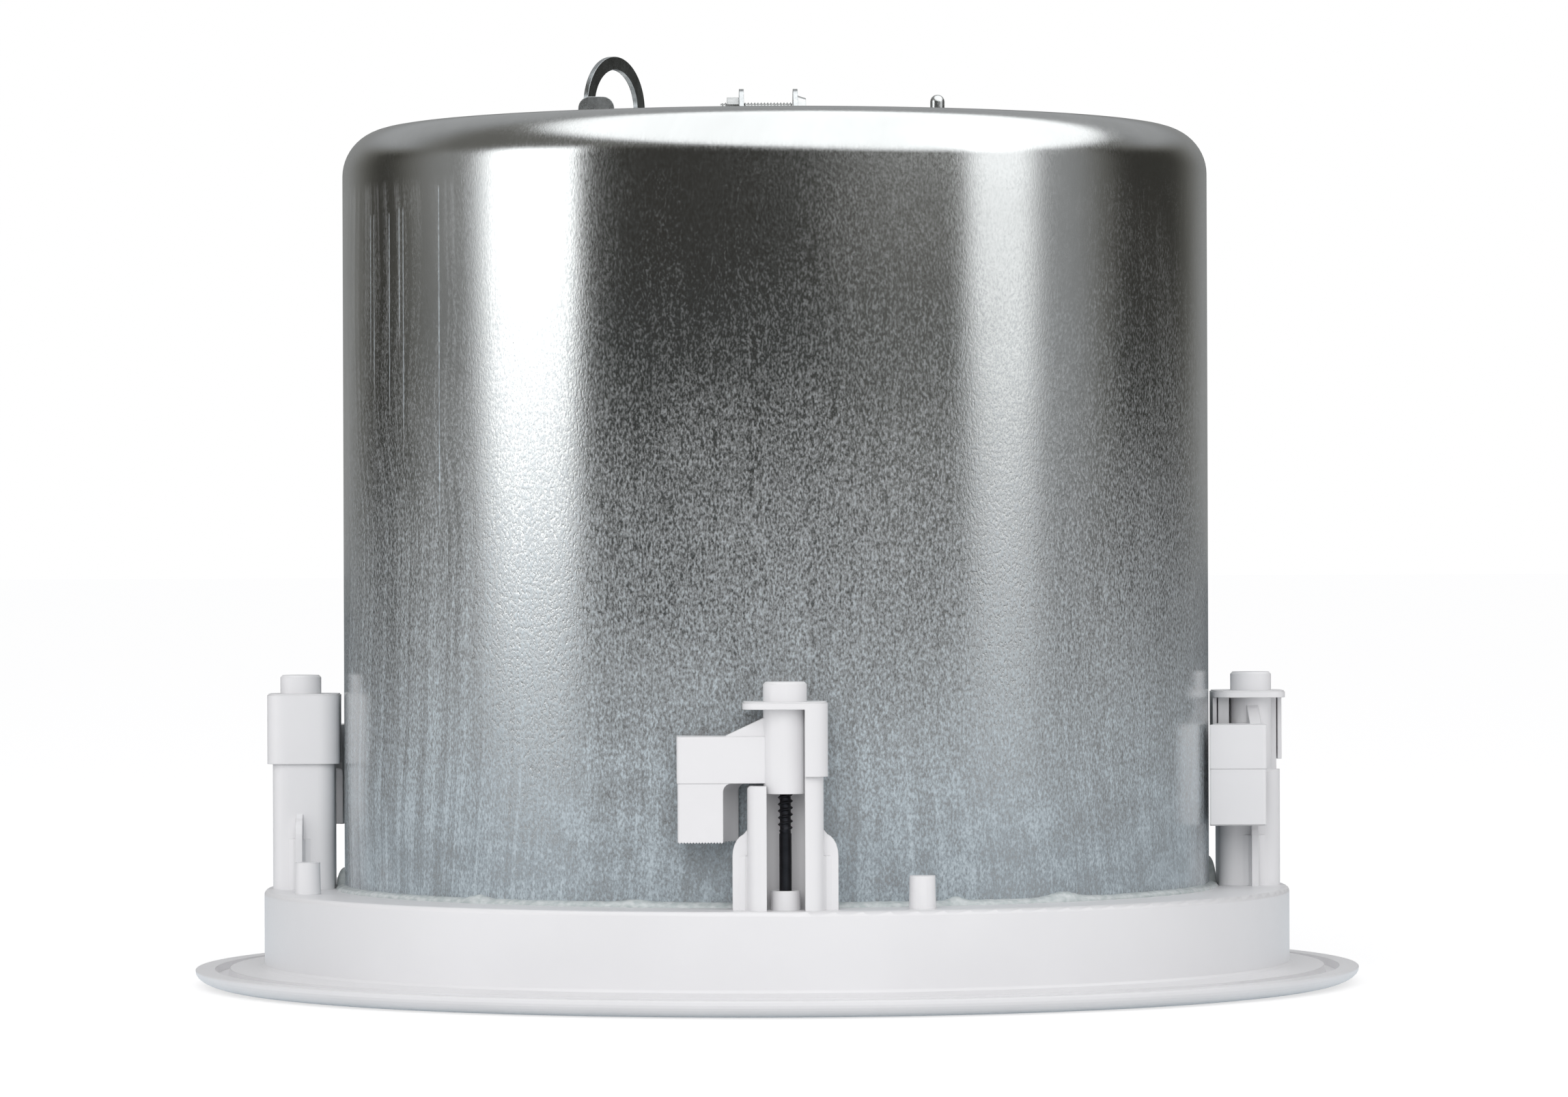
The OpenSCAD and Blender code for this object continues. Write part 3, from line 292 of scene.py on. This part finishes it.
def pressed_paper():
    """Dark cone paper with short fibres."""
    mat, tree, shader = new_finish("cone_paper", (0.035, 0.035, 0.038), roughness=0.8)
    fibres = noise_value(tree, (1500, 1500, 400), detail=5, roughness=0.7, distortion=1.2)
    paint(tree, shader, fibres, 0.3, 0.7, (0.022, 0.022, 0.024), (0.06, 0.06, 0.062))
    add_bump(tree, shader, fibres, 0.5, 0.00015)
    return mat


def woven(name, colour, dark, pitch):
    """Cloth woven from threads at the given pitch, in metres."""
    mat, tree, shader = new_finish(name, colour, roughness=0.9, specular=0.2)
    waves = []
    for axis in ("X", "Y"):
        wave = tree.nodes.new("ShaderNodeTexWave")
        wave.bands_direction = axis
        wave.inputs["Scale"].default_value = 1 / pitch / 20
        tree.links.new(object_point(tree, (20, 20, 20)), wave.inputs["Vector"])
        waves.append(wave.outputs["Fac"])
    weave = calc(tree, "MULTIPLY", waves[0], waves[1])
    tree.links.new(mix_colour(tree, weave, dark, colour), shader.inputs["Base Color"])
    add_bump(tree, shader, weave, 0.4, 0.0002)
    return mat


def enamelled_wire():
    """Copper winding: the turns show as fine rings along Z."""
    mat, tree, shader = new_finish("copper", (0.72, 0.32, 0.16), metallic=0.85, roughness=0.32)
    wave = tree.nodes.new("ShaderNodeTexWave")
    wave.bands_direction = "Z"
    wave.inputs["Scale"].default_value = 90
    wave.inputs["Distortion"].default_value = 0.6
    tree.links.new(object_point(tree, (20, 20, 20)), wave.inputs["Vector"])
    tree.links.new(mix_colour(tree, wave.outputs["Fac"], (0.38, 0.13, 0.05), (0.80, 0.38, 0.19)),
                   shader.inputs["Base Color"])
    add_bump(tree, shader, wave.outputs["Fac"], 0.5, 0.0002)
    return mat


def fleece():
    """Pale fluffy damping wool."""
    mat, tree, shader = new_finish("wadding", (0.72, 0.72, 0.70), roughness=1.0, specular=0.1)
    fluff = noise_value(tree, (260, 260, 260), detail=6, roughness=0.75, distortion=1.5)
    paint(tree, shader, fluff, 0.3, 0.7, (0.50, 0.50, 0.48), (0.85, 0.85, 0.83))
    add_bump(tree, shader, fluff, 0.8, 0.001)
    return mat


FINISHES = {
    "white_plastic": moulded("white_plastic", (0.775, 0.77, 0.78), 0.38),
    "white_paint": moulded("white_paint", (0.80, 0.805, 0.80), 0.5,
                           grain=2600, depth=0.00004, edge=0.00015),
    "zinc_steel": drawn_zinc("zinc_steel", (0.56, 0.57, 0.57), 0.26),
    "bright_steel": turned_metal("bright_steel", (0.66, 0.66, 0.65), 0.25),
    "dark_steel": turned_metal("dark_steel", (0.42, 0.43, 0.44), 0.28),
    "black_steel": turned_metal("black_steel", (0.045, 0.045, 0.05), 0.38),
    "sealant": clear_sealant(),
    "black_rubber": moulded("black_rubber", (0.022, 0.022, 0.024), 0.62,
                            grain=900, depth=0.00005, mottle=0.2),
    "cone_paper": pressed_paper(),
    "spider_cloth": woven("spider_cloth", (0.62, 0.40, 0.12), (0.34, 0.20, 0.05), 0.0008),
    "ferrite": moulded("ferrite", (0.05, 0.05, 0.052), 0.55, grain=1800, depth=0.00006, mottle=0.3),
    "copper": enamelled_wire(),
    "black_plastic": moulded("black_plastic", (0.030, 0.030, 0.032), 0.42, mottle=0.15),
    "green_board": moulded("green_board", (0.03, 0.20, 0.07), 0.4, grain=1100, mottle=0.25),
    "blue_sleeve": moulded("blue_sleeve", (0.03, 0.06, 0.30), 0.3, mottle=0.1),
    "red_lead": moulded("red_lead", (0.45, 0.02, 0.02), 0.4, mottle=0.1),
    "wadding": fleece(),
    "aluminium": turned_metal("aluminium", (0.78, 0.79, 0.80), 0.3),
}
CAN_FINISH = drawn_can()
RING_FINISH = drawn_zinc("ring_zinc", (0.50, 0.52, 0.53), 0.2)

for node_name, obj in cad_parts.items():
    for slot in obj.material_slots:
        slot.material = FINISHES[slot.material.name.split(".")[0]]
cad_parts["safety_ring"].material_slots[0].material = RING_FINISH


# Mesh helpers

def make_piece(name, bm, finish, slot, body, *stands_for, smooth=True):
    """Turns a bmesh into a piece that rides on a body and stands for CAD nodes."""
    mesh = bpy.data.meshes.new(name)
    for face in bm.faces:
        face.smooth = smooth
    bm.to_mesh(mesh)
    bm.free()
    obj = bpy.data.objects.new(name, mesh)
    bpy.context.scene.collection.objects.link(obj)
    mesh.materials.append(finish)
    if smooth:
        mesh.set_sharp_from_angle(angle=math.radians(35))
    if stands_for:
        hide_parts(*stands_for)
    if body:
        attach(obj, body)
    return obj


def skin_rows(bm, rows, closed_ring=False):
    """Faces between rows of vertices; each row closes on itself, and the last row may join the first."""
    last = len(rows) if closed_ring else len(rows) - 1
    for i in range(last):
        a, b = rows[i], rows[(i + 1) % len(rows)]
        for j in range(len(a)):
            k = (j + 1) % len(a)
            bm.faces.new((a[j], a[k], b[k], b[j]))


def circle(bm, r, z, count):
    """Vertices on a level circle round the object's axis."""
    angles = [2 * math.pi * k / count for k in range(count)]
    return [bm.verts.new((r * math.cos(a), r * math.sin(a), z)) for a in angles]


# Back can: the CAD can with its wall and shoulder lofted in fine steps

def fine_can():
    """The photographed shoulder is fuller than the CAD's; top, recess, holes and foot are the CAD's own."""
    low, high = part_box("back_can")
    sheet, shoulder, cad_shoulder, crown = 0.001, 0.010, 0.017, 0.0005
    turns, arc_steps = 360, 14
    near = 0.00002
    join_r = high.x - cad_shoulder
    bm = bmesh.new()
    bm.from_mesh(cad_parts["back_can"].data)
    wall = []
    for face in bm.faces:
        centre = face.calc_center_median()
        above_foot = centre.z > low.z + 1.2 * sheet
        if above_foot and math.hypot(centre.x, centre.y) > join_r + near:
            wall.append(face)
    bmesh.ops.delete(bm, geom=wall, context="FACES")
    for inset, flip in ((0.0, False), (sheet, True)):
        radius = shoulder - inset
        profile = [(high.x - inset, low.z + up) for up in (inset, 0.07, 0.12)]
        for i in range(arc_steps + 1):
            a = math.pi / 2 * i / arc_steps
            r = high.x - shoulder + radius * math.cos(a)
            profile.append((r, high.z - crown - shoulder + radius * math.sin(a)))
        profile.append((join_r, high.z - inset))
        rows = [circle(bm, r, z, turns) for r, z in profile]
        skin_rows(bm, rows[::-1] if flip else rows)
    make_piece("lofted_can", bm, CAN_FINISH, "zinc_steel", "enclosure", "back_can")


# Sealant bead: uneven, with blobs where the nozzle stopped

# azimuth from the right in degrees, extra width and height in mm, and half spread in degrees
BLOBS = (
    (180, 1.4, 3.4, 0.75),
    (0, 1.4, 5.2, 0.5),
    (74, 1.0, 1.0, 3.0),
    (131, 0.8, 0.9, 2.4),
    (308, 0.9, 1.1, 2.6),
    (228, 0.5, 0.7, 1.5),
    (251, 0.7, 0.5, 2.0),
    (292, 0.6, 0.8, 1.2),
)


def sealant():
    """A bead whose width and height, in mm, wander along its run; it is held narrow at the towers."""
    can_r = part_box("back_can")[1].x
    floor_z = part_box("back_can")[0].z
    bead_w, bead_h = 2.0, 1.05
    tower_half, tower_w = 6.5, 1.85
    turns, arc_steps = 1080, 8
    bm = bmesh.new()
    rows = []
    for i in range(turns):
        a = 2 * math.pi * i / turns
        place = Vector((math.cos(a), math.sin(a), 0))
        wobble = noise.noise(place * 7.0) * 0.5 + noise.noise(place * 23.0) * 0.25
        fine = noise.noise(place * 160.0)
        wide = bead_w + 0.5 * wobble + 0.08 * fine
        high = bead_h + 0.35 * wobble + 0.10 * fine
        for at, more_wide, more_high, spread in BLOBS:
            off = (math.degrees(a) - at + 180) % 360 - 180
            lift = math.exp(-(off / spread) ** 2)
            wide += more_wide * lift * 0.35
            high += more_high * lift * (1 + 0.12 * fine)
        quarter = math.degrees(a) % 90
        if min(quarter, 90 - quarter) < tower_half:
            wide = min(wide, tower_w)
        row = []
        for k in range(arc_steps + 1):
            t = math.radians(90 * k / arc_steps)
            r = can_r / MM + wide * math.cos(t)
            up = Vector((0, 0, floor_z / MM + high * math.sin(t)))
            row.append(bm.verts.new((place * r + up) * MM))
        row.append(bm.verts.new(place * can_r * 0.9995 + Vector((0, 0, floor_z))))
        rows.append(row)
    skin_rows(bm, rows, closed_ring=True)
    bmesh.ops.recalc_face_normals(bm, faces=bm.faces)
    make_piece("sealant_run", bm, FINISHES["sealant"], "sealant", "enclosure", "sealant_bead")


# Threads

def thread_rows(bm, r, core_r, z0, z1, pitch, sides=24, steps=10):
    """A threaded rod along Z from z0 to z1; returns its rows of vertices."""
    rows = []
    count = round((z1 - z0) / pitch * steps)
    for i in range(count + 1):
        z = z0 + (z1 - z0) * i / count
        fade = min(1.0, (z - z0) / pitch, (z1 - z) / pitch)
        row = []
        for j in range(sides):
            a = 2 * math.pi * j / sides
            phase = (z / pitch - j / sides) % 1.0
            ridge = max(0.0, 1 - abs(phase - 0.5) * 3.6)
            radius = core_r + (r - core_r) * min(1.0, ridge * 1.1) * max(0.0, fade)
            row.append(bm.verts.new((radius * math.cos(a), radius * math.sin(a), z)))
        rows.append(row)
    skin_rows(bm, rows)
    bm.faces.new(rows[0][::-1])
    bm.faces.new(rows[-1])
    return rows


def clamp_screw(k):
    """The CAD screw's head and shank with a threaded upper part."""
    name = f"clamp_screw_{k}"
    low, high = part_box(name)
    axis = (low + high) / 2
    thread_z, thread_r, core_r, pitch = 0.036, 0.00155, 0.00112, 0.00135
    near = 0.00005
    bm = bmesh.new()
    bm.from_mesh(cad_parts[name].data)
    above = [f for f in bm.faces if min(v.co.z for v in f.verts) > thread_z - near]
    bmesh.ops.delete(bm, geom=above, context="FACES")
    rows = thread_rows(bm, thread_r, core_r, thread_z, high.z, pitch)
    thread = [v for row in rows for v in row]
    bmesh.ops.translate(bm, verts=thread, vec=(axis.x, axis.y, 0))
    make_piece(f"threaded_screw_{k}", bm, FINISHES["black_steel"], "black_steel", f"screw_{k}", name)


def clamp_bolt():
    """The cable clamp's head and nut on a rod threaded along its whole length."""
    name = "cable_clamp_screw"
    low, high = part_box(name)
    middle = (low + high) / 2
    head_t, rod_r, groove, pitch = 0.0018, 0.00205, 0.00032, 0.0007
    near, end_gap = 0.00003, 0.00001
    head_x = high.x - head_t
    bm = bmesh.new()
    bm.from_mesh(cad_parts[name].data)
    shank = []
    for face in bm.faces:
        reach = max(math.hypot(v.co.y - middle.y, v.co.z - middle.z) for v in face.verts)
        if reach < rod_r + near and face.calc_center_median().x < head_x - end_gap:
            shank.append(face)
    bmesh.ops.delete(bm, geom=shank, context="FACES")
    rows = thread_rows(bm, rod_r, rod_r - groove, low.x, head_x, pitch)
    rod = [v for row in rows for v in row]
    bmesh.ops.rotate(bm, verts=rod, cent=(0, 0, 0), matrix=Matrix.Rotation(math.pi / 2, 3, "Y"))
    bmesh.ops.translate(bm, verts=rod, vec=(0, middle.y, middle.z))
    make_piece("clamp_bolt", bm, FINISHES["bright_steel"], "bright_steel", "enclosure", name)


# Grille: perforated sheet with a turned rim

def fine_grille():
    """A hexagon of sheet round each hole, a plain border round the field, and a turned-up rim."""
    low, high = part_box("grille")
    sheet, border_w = 0.001, 0.0046
    outer_r = high.x
    z0, z1 = low.z, low.z + sheet
    pitch, hole_r = 0.0038, 0.00125
    field_r = outer_r - border_w
    sides, rim_steps = 12, 360
    bm = bmesh.new()
    corner_cache = {}

    def corner(p, z):
        key = (round(p.x / MM, 3), round(p.y / MM, 3), z)
        if key not in corner_cache:
            corner_cache[key] = bm.verts.new((p.x, p.y, z))
        return corner_cache[key]

    rows = int(field_r / (pitch * math.sin(math.pi / 3))) + 1
    edges = {}
    for j in range(-rows, rows + 1):
        for i in range(-rows - 5, rows + 6):
            c = Vector(((i + (0.5 if j % 2 else 0)) * pitch, j * pitch * math.sin(math.pi / 3), 0))
            if c.length > field_r - pitch * 0.6:
                continue
            hexagon = []
            for k in range(6):
                a = math.pi / 3 * k
                hexagon.append(c + Vector((math.sin(a), math.cos(a), 0)) * pitch / math.sqrt(3))
            for k in range(6):
                p, q = hexagon[k], hexagon[(k + 1) % 6]
                key = tuple(sorted(((round(p.x, 6), round(p.y, 6)), (round(q.x, 6), round(q.y, 6)))))
                edges.setdefault(key, []).append((p, q))
            hole = {}
            for z in (z0, z1):
                hole[z] = []
                for k in range(sides):
                    a = 2 * math.pi * k / sides
                    place = (c.x + hole_r * math.sin(a), c.y + hole_r * math.cos(a), z)
                    hole[z].append(bm.verts.new(place))
                outer = [corner(p, z) for p in hexagon]
                for k in range(6):
                    a, b = outer[k], outer[(k + 1) % 6]
                    h0, h1, h2 = hole[z][2 * k], hole[z][2 * k + 1], hole[z][(2 * k + 2) % sides]
                    for tri in ((a, b, h1), (a, h1, h0), (b, h2, h1)):
                        bm.faces.new(tri if z == z0 else tri[::-1])
            for k in range(sides):
                n = (k + 1) % sides
                bm.faces.new((hole[z0][k], hole[z0][n], hole[z1][n], hole[z1][k]))
    # plain border between the field and the rim
    border = [e[0] for e in edges.values() if len(e) == 1]
    under = circle(bm, outer_r, z0, rim_steps)
    stitch_border(bm, corner, border, under, z0, flip=False)
    inside = circle(bm, outer_r, z1, rim_steps)
    stitch_border(bm, corner, border, inside, z1, flip=True)
    top_out = circle(bm, outer_r, high.z, rim_steps)
    top_in = circle(bm, outer_r - sheet, high.z, rim_steps)
    low_in = circle(bm, outer_r - sheet, z1, rim_steps)
    skin_rows(bm, [under, top_out, top_in, low_in, inside])
    bmesh.ops.recalc_face_normals(bm, faces=bm.faces)
    make_piece("perforated_grille", bm, FINISHES["white_paint"], "white_paint", "enclosure", "grille")


def stitch_border(bm, corner, border, rim, z, flip):
    """Fans from each border edge of the perforated field out to the rim's vertices."""
    steps = len(rim)

    def index(p):
        return math.atan2(p.y, p.x) / (2 * math.pi) * steps

    ordered = sorted(border, key=lambda e: index((e[0] + e[1]) / 2))
    for a, b in ordered:
        ia, ib = index(a), index(b)
        if ib - ia > steps / 2:
            ib -= steps
        if ia - ib > steps / 2:
            ia -= steps
        if ia > ib:
            a, b, ia, ib = b, a, ib, ia
        ka, kb = round(ia), round(ib)
        va, vb = corner(a, z), corner(b, z)
        for k in range(ka, kb):
            tri = (va, rim[k % steps], rim[(k + 1) % steps])
            bm.faces.new(tri[::-1] if flip else tri)
        tri = (va, rim[kb % steps], vb)
        if len(set(tri)) == 3:
            bm.faces.new(tri[::-1] if flip else tri)


# Soft rings between the cone and the basket, in sectors

def soft_sectors(node, profile, count, finish):
    """A closed profile revolved in sectors, each a separate piece."""
    steps = 6
    for s in range(count):
        bm = bmesh.new()
        rows = []
        for i in range(steps + 1):
            a = 2 * math.pi * (s + i / steps) / count
            rows.append([bm.verts.new((r * math.cos(a), r * math.sin(a), z)) for r, z in profile])
        skin_rows(bm, rows)
        bmesh.ops.recalc_face_normals(bm, faces=bm.faces)
        piece = make_piece(f"{node}_sector_{s + 1}", bm, FINISHES[finish], finish, None, node)
        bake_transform(piece)


def surround():
    """A half roll of rubber, with a flat edge on the basket."""
    low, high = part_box("surround")
    back, outer_r = high.z, high.x
    inner, roll_r, rubber = 0.0600, 0.004, 0.0006
    arc_steps = 12
    mid_r = inner + roll_r
    profile = []
    for k in range(arc_steps + 1):
        a = math.pi * k / arc_steps
        profile.append((mid_r - roll_r * math.cos(a), back - roll_r * math.sin(a)))
    profile.append((outer_r, back - rubber))
    profile.append((outer_r, back))
    profile.append((mid_r + roll_r - rubber, back))
    for k in range(arc_steps - 1, 0, -1):
        a = math.pi * k / arc_steps
        profile.append((mid_r - (roll_r - rubber) * math.cos(a), back - (roll_r - rubber) * math.sin(a)))
    profile.append((inner + rubber, back))
    soft_sectors("surround", profile, 24, "black_rubber")


def spider():
    """Corrugated cloth between the voice coil and the basket."""
    low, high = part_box("spider")
    inner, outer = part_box("voice_coil")[1].x, high.x
    waves, per_wave, cloth = 5, 8, 0.0005
    middle = (low.z + high.z - cloth) / 2
    swing = (high.z - low.z - cloth) / 2
    steps = waves * per_wave
    under = []
    for k in range(steps + 1):
        rise = swing * math.sin(2 * math.pi * k / per_wave)
        under.append((inner + (outer - inner) * k / steps, middle + rise))
    profile = under + [(r, z + cloth) for r, z in under[::-1]]
    soft_sectors("spider", profile, 16, "spider_cloth")


fine_can()
sealant()
for number in (1, 2, 3, 4):
    clamp_screw(number)
clamp_bolt()
fine_grille()
surround()
spider()


# Floor, light and camera

def by_ray(tree, *kinds):
    """1 for rays of the given kinds."""
    path = tree.nodes.new("ShaderNodeLightPath")
    total = path.outputs[kinds[0]]
    for kind in kinds[1:]:
        total = calc(tree, "MAXIMUM", total, path.outputs[kind])
    return total


# Soft boxes and walls seen by metal: azimuths of both edges in degrees, softness of each edge, level
SOFT_BOXES = (
    (-82, -54.5, 17, 3, 2.6),
    (-112, -74, 30, 10, 0.24),
    (51, 70, 5, 12, 1.5),
    (66, 93, 6, 26, 0.33),
    (20, 52, 30, 6, 0.08),
)


def studio_world():
    """White for the camera, even light on matt surfaces, and a studio's soft boxes for glossy rays."""
    world = bpy.data.worlds.new("studio")
    bpy.context.scene.world = world
    world.use_nodes = True
    tree = world.node_tree
    tree.nodes.clear()
    output = tree.nodes.new("ShaderNodeOutputWorld")
    coord = tree.nodes.new("ShaderNodeTexCoord")
    axes = tree.nodes.new("ShaderNodeSeparateXYZ")
    tree.links.new(coord.outputs["Generated"], axes.inputs[0])
    around = calc(tree, "ARCTAN2", axes.outputs["X"], calc(tree, "MULTIPLY", axes.outputs["Y"], -1.0))
    turn = calc(tree, "MULTIPLY", around, 180 / math.pi)
    total = 0.05
    for start, end, soft_start, soft_end, level in SOFT_BOXES:
        rise = remap(tree, turn, start - soft_start / 2, start + soft_start / 2, 0, 1, smooth=True)
        fall = remap(tree, turn, end - soft_end / 2, end + soft_end / 2, 1, 0, smooth=True)
        total = calc(tree, "ADD", total, calc(tree, "MULTIPLY", calc(tree, "MULTIPLY", rise, fall), level))
    rear = remap(tree, calc(tree, "ABSOLUTE", turn), 128, 160, 0, 0.24, smooth=True)
    total = calc(tree, "ADD", total, rear)
    # the boxes end between 14 and 26 degrees above the horizon, with a dim ceiling above them
    box_top, box_end = math.sin(math.radians(14)), math.sin(math.radians(26))
    low_part = remap(tree, axes.outputs["Z"], box_top, box_end, 1, 0, smooth=True)
    ceiling = remap(tree, low_part, 0, 1, 0.17, 0.0)
    total = calc(tree, "ADD", calc(tree, "MULTIPLY", total, low_part), ceiling)
    behind = calc(tree, "MULTIPLY", remap(tree, axes.outputs["Y"], 0.2, 0.7, 0, 0.28, smooth=True),
                  calc(tree, "SUBTRACT", 1.0, low_part))
    total = calc(tree, "ADD", total, behind)
    # one large panel overhead, leaning to the front and the right
    toward = tree.nodes.new("ShaderNodeVectorMath")
    toward.operation = "DOT_PRODUCT"
    toward.inputs[1].default_value = Vector((0.24, -0.34, 0.91)).normalized()
    tree.links.new(coord.outputs["Generated"], toward.inputs[0])
    panel_edge, panel_full = math.cos(math.radians(59)), math.cos(math.radians(50))
    panel = remap(tree, toward.outputs["Value"], panel_edge, panel_full, 0, 1.6, smooth=True)
    total = calc(tree, "ADD", total, panel)
    tint = mix_colour(tree, remap(tree, total, 0.05, 0.35, 0, 1), (1.0, 0.98, 0.86), (0.97, 1.0, 1.02))
    glossy = tree.nodes.new("ShaderNodeVectorMath")
    glossy.operation = "SCALE"
    tree.links.new(tint, glossy.inputs[0])
    tree.links.new(total, glossy.inputs["Scale"])
    glossy = glossy.outputs[0]
    ambient = (0.78, 0.78, 0.79)
    other = mix_colour(tree, by_ray(tree, "Is Glossy Ray"), ambient, glossy)
    shown = mix_colour(tree, by_ray(tree, "Is Camera Ray", "Is Transmission Ray"), other, (1.0, 1.0, 1.0))
    background = tree.nodes.new("ShaderNodeBackground")
    tree.links.new(shown, background.inputs["Color"])
    tree.links.new(background.outputs[0], output.inputs["Surface"])


def studio_floor():
    """Pale floor that keeps the object's shadow."""
    bm = bmesh.new()
    half, depth = 30, -0.00002
    corners = ((-half, -half), (half, -half), (half, half), (-half, half))
    bm.faces.new([bm.verts.new((x, y, depth)) for x, y in corners])
    mesh = bpy.data.meshes.new("floor")
    bm.to_mesh(mesh)
    bm.free()
    floor = bpy.data.objects.new("floor", mesh)
    bpy.context.scene.collection.objects.link(floor)
    mat = bpy.data.materials.new("floor_white")
    mat.use_nodes = True
    tree = mat.node_tree
    tree.nodes.clear()
    output = tree.nodes.new("ShaderNodeOutputMaterial")
    diffuse = tree.nodes.new("ShaderNodeBsdfDiffuse")
    diffuse.inputs["Color"].default_value = (0.92, 0.92, 0.92, 1)
    pale = tree.nodes.new("ShaderNodeBsdfDiffuse")
    pale.inputs["Color"].default_value = (0.42, 0.42, 0.42, 1)
    glow = tree.nodes.new("ShaderNodeEmission")
    glow.inputs["Strength"].default_value = 0.66
    shown = tree.nodes.new("ShaderNodeAddShader")
    tree.links.new(pale.outputs[0], shown.inputs[0])
    tree.links.new(glow.outputs[0], shown.inputs[1])
    # metal sees the floor's brightness only near the object
    point = tree.nodes.new("ShaderNodeNewGeometry")
    length = tree.nodes.new("ShaderNodeVectorMath")
    length.operation = "LENGTH"
    tree.links.new(point.outputs["Position"], length.inputs[0])
    near = remap(tree, length.outputs["Value"], 0.25, 1.0, 1.0, 0.12)
    mirror = tree.nodes.new("ShaderNodeEmission")
    mirror.inputs["Color"].default_value = (0.80, 0.92, 1.0, 1)
    tree.links.new(near, mirror.inputs["Strength"])
    first = tree.nodes.new("ShaderNodeMixShader")
    tree.links.new(by_ray(tree, "Is Glossy Ray"), first.inputs[0])
    tree.links.new(diffuse.outputs[0], first.inputs[1])
    tree.links.new(mirror.outputs[0], first.inputs[2])
    second = tree.nodes.new("ShaderNodeMixShader")
    tree.links.new(by_ray(tree, "Is Camera Ray"), second.inputs[0])
    tree.links.new(first.outputs[0], second.inputs[1])
    tree.links.new(shown.outputs[0], second.inputs[2])
    tree.links.new(second.outputs[0], output.inputs["Surface"])
    mesh.materials.append(mat)


def soft_light(name, place, target, size, power):
    """A square lamp aimed at a target, which glossy rays don't see."""
    data = bpy.data.lights.new(name, "AREA")
    data.shape = "SQUARE"
    data.size = size
    data.energy = power
    lamp = bpy.data.objects.new(name, data)
    bpy.context.scene.collection.objects.link(lamp)
    lamp.location = place
    lamp.rotation_euler = (Vector(target) - Vector(place)).to_track_quat("-Z", "Y").to_euler()
    lamp.visible_glossy = False


def photo_camera():
    """The photograph's view: level, close to the object's middle height, with a long lens."""
    data = bpy.data.cameras.new("camera")
    data.sensor_width = 36
    data.lens = 160.25
    data.shift_x = 0.0053
    data.shift_y = 0.0050
    data.clip_end = 100
    camera = bpy.data.objects.new("camera", data)
    bpy.context.scene.collection.objects.link(camera)
    camera.location = (-0.0255, -1.5048, 0.0917)
    level, roll, pan = 90, 0.2, -0.97
    camera.rotation_euler = (math.radians(level), math.radians(roll), math.radians(pan))
    bpy.context.scene.camera = camera


studio_world()
studio_floor()
soft_light("key", (-0.2, -1.7, 0.9), (0, 0, 0.08), 1.3, 13)
photo_camera()
bpy.context.scene.view_settings.view_transform = "Standard"
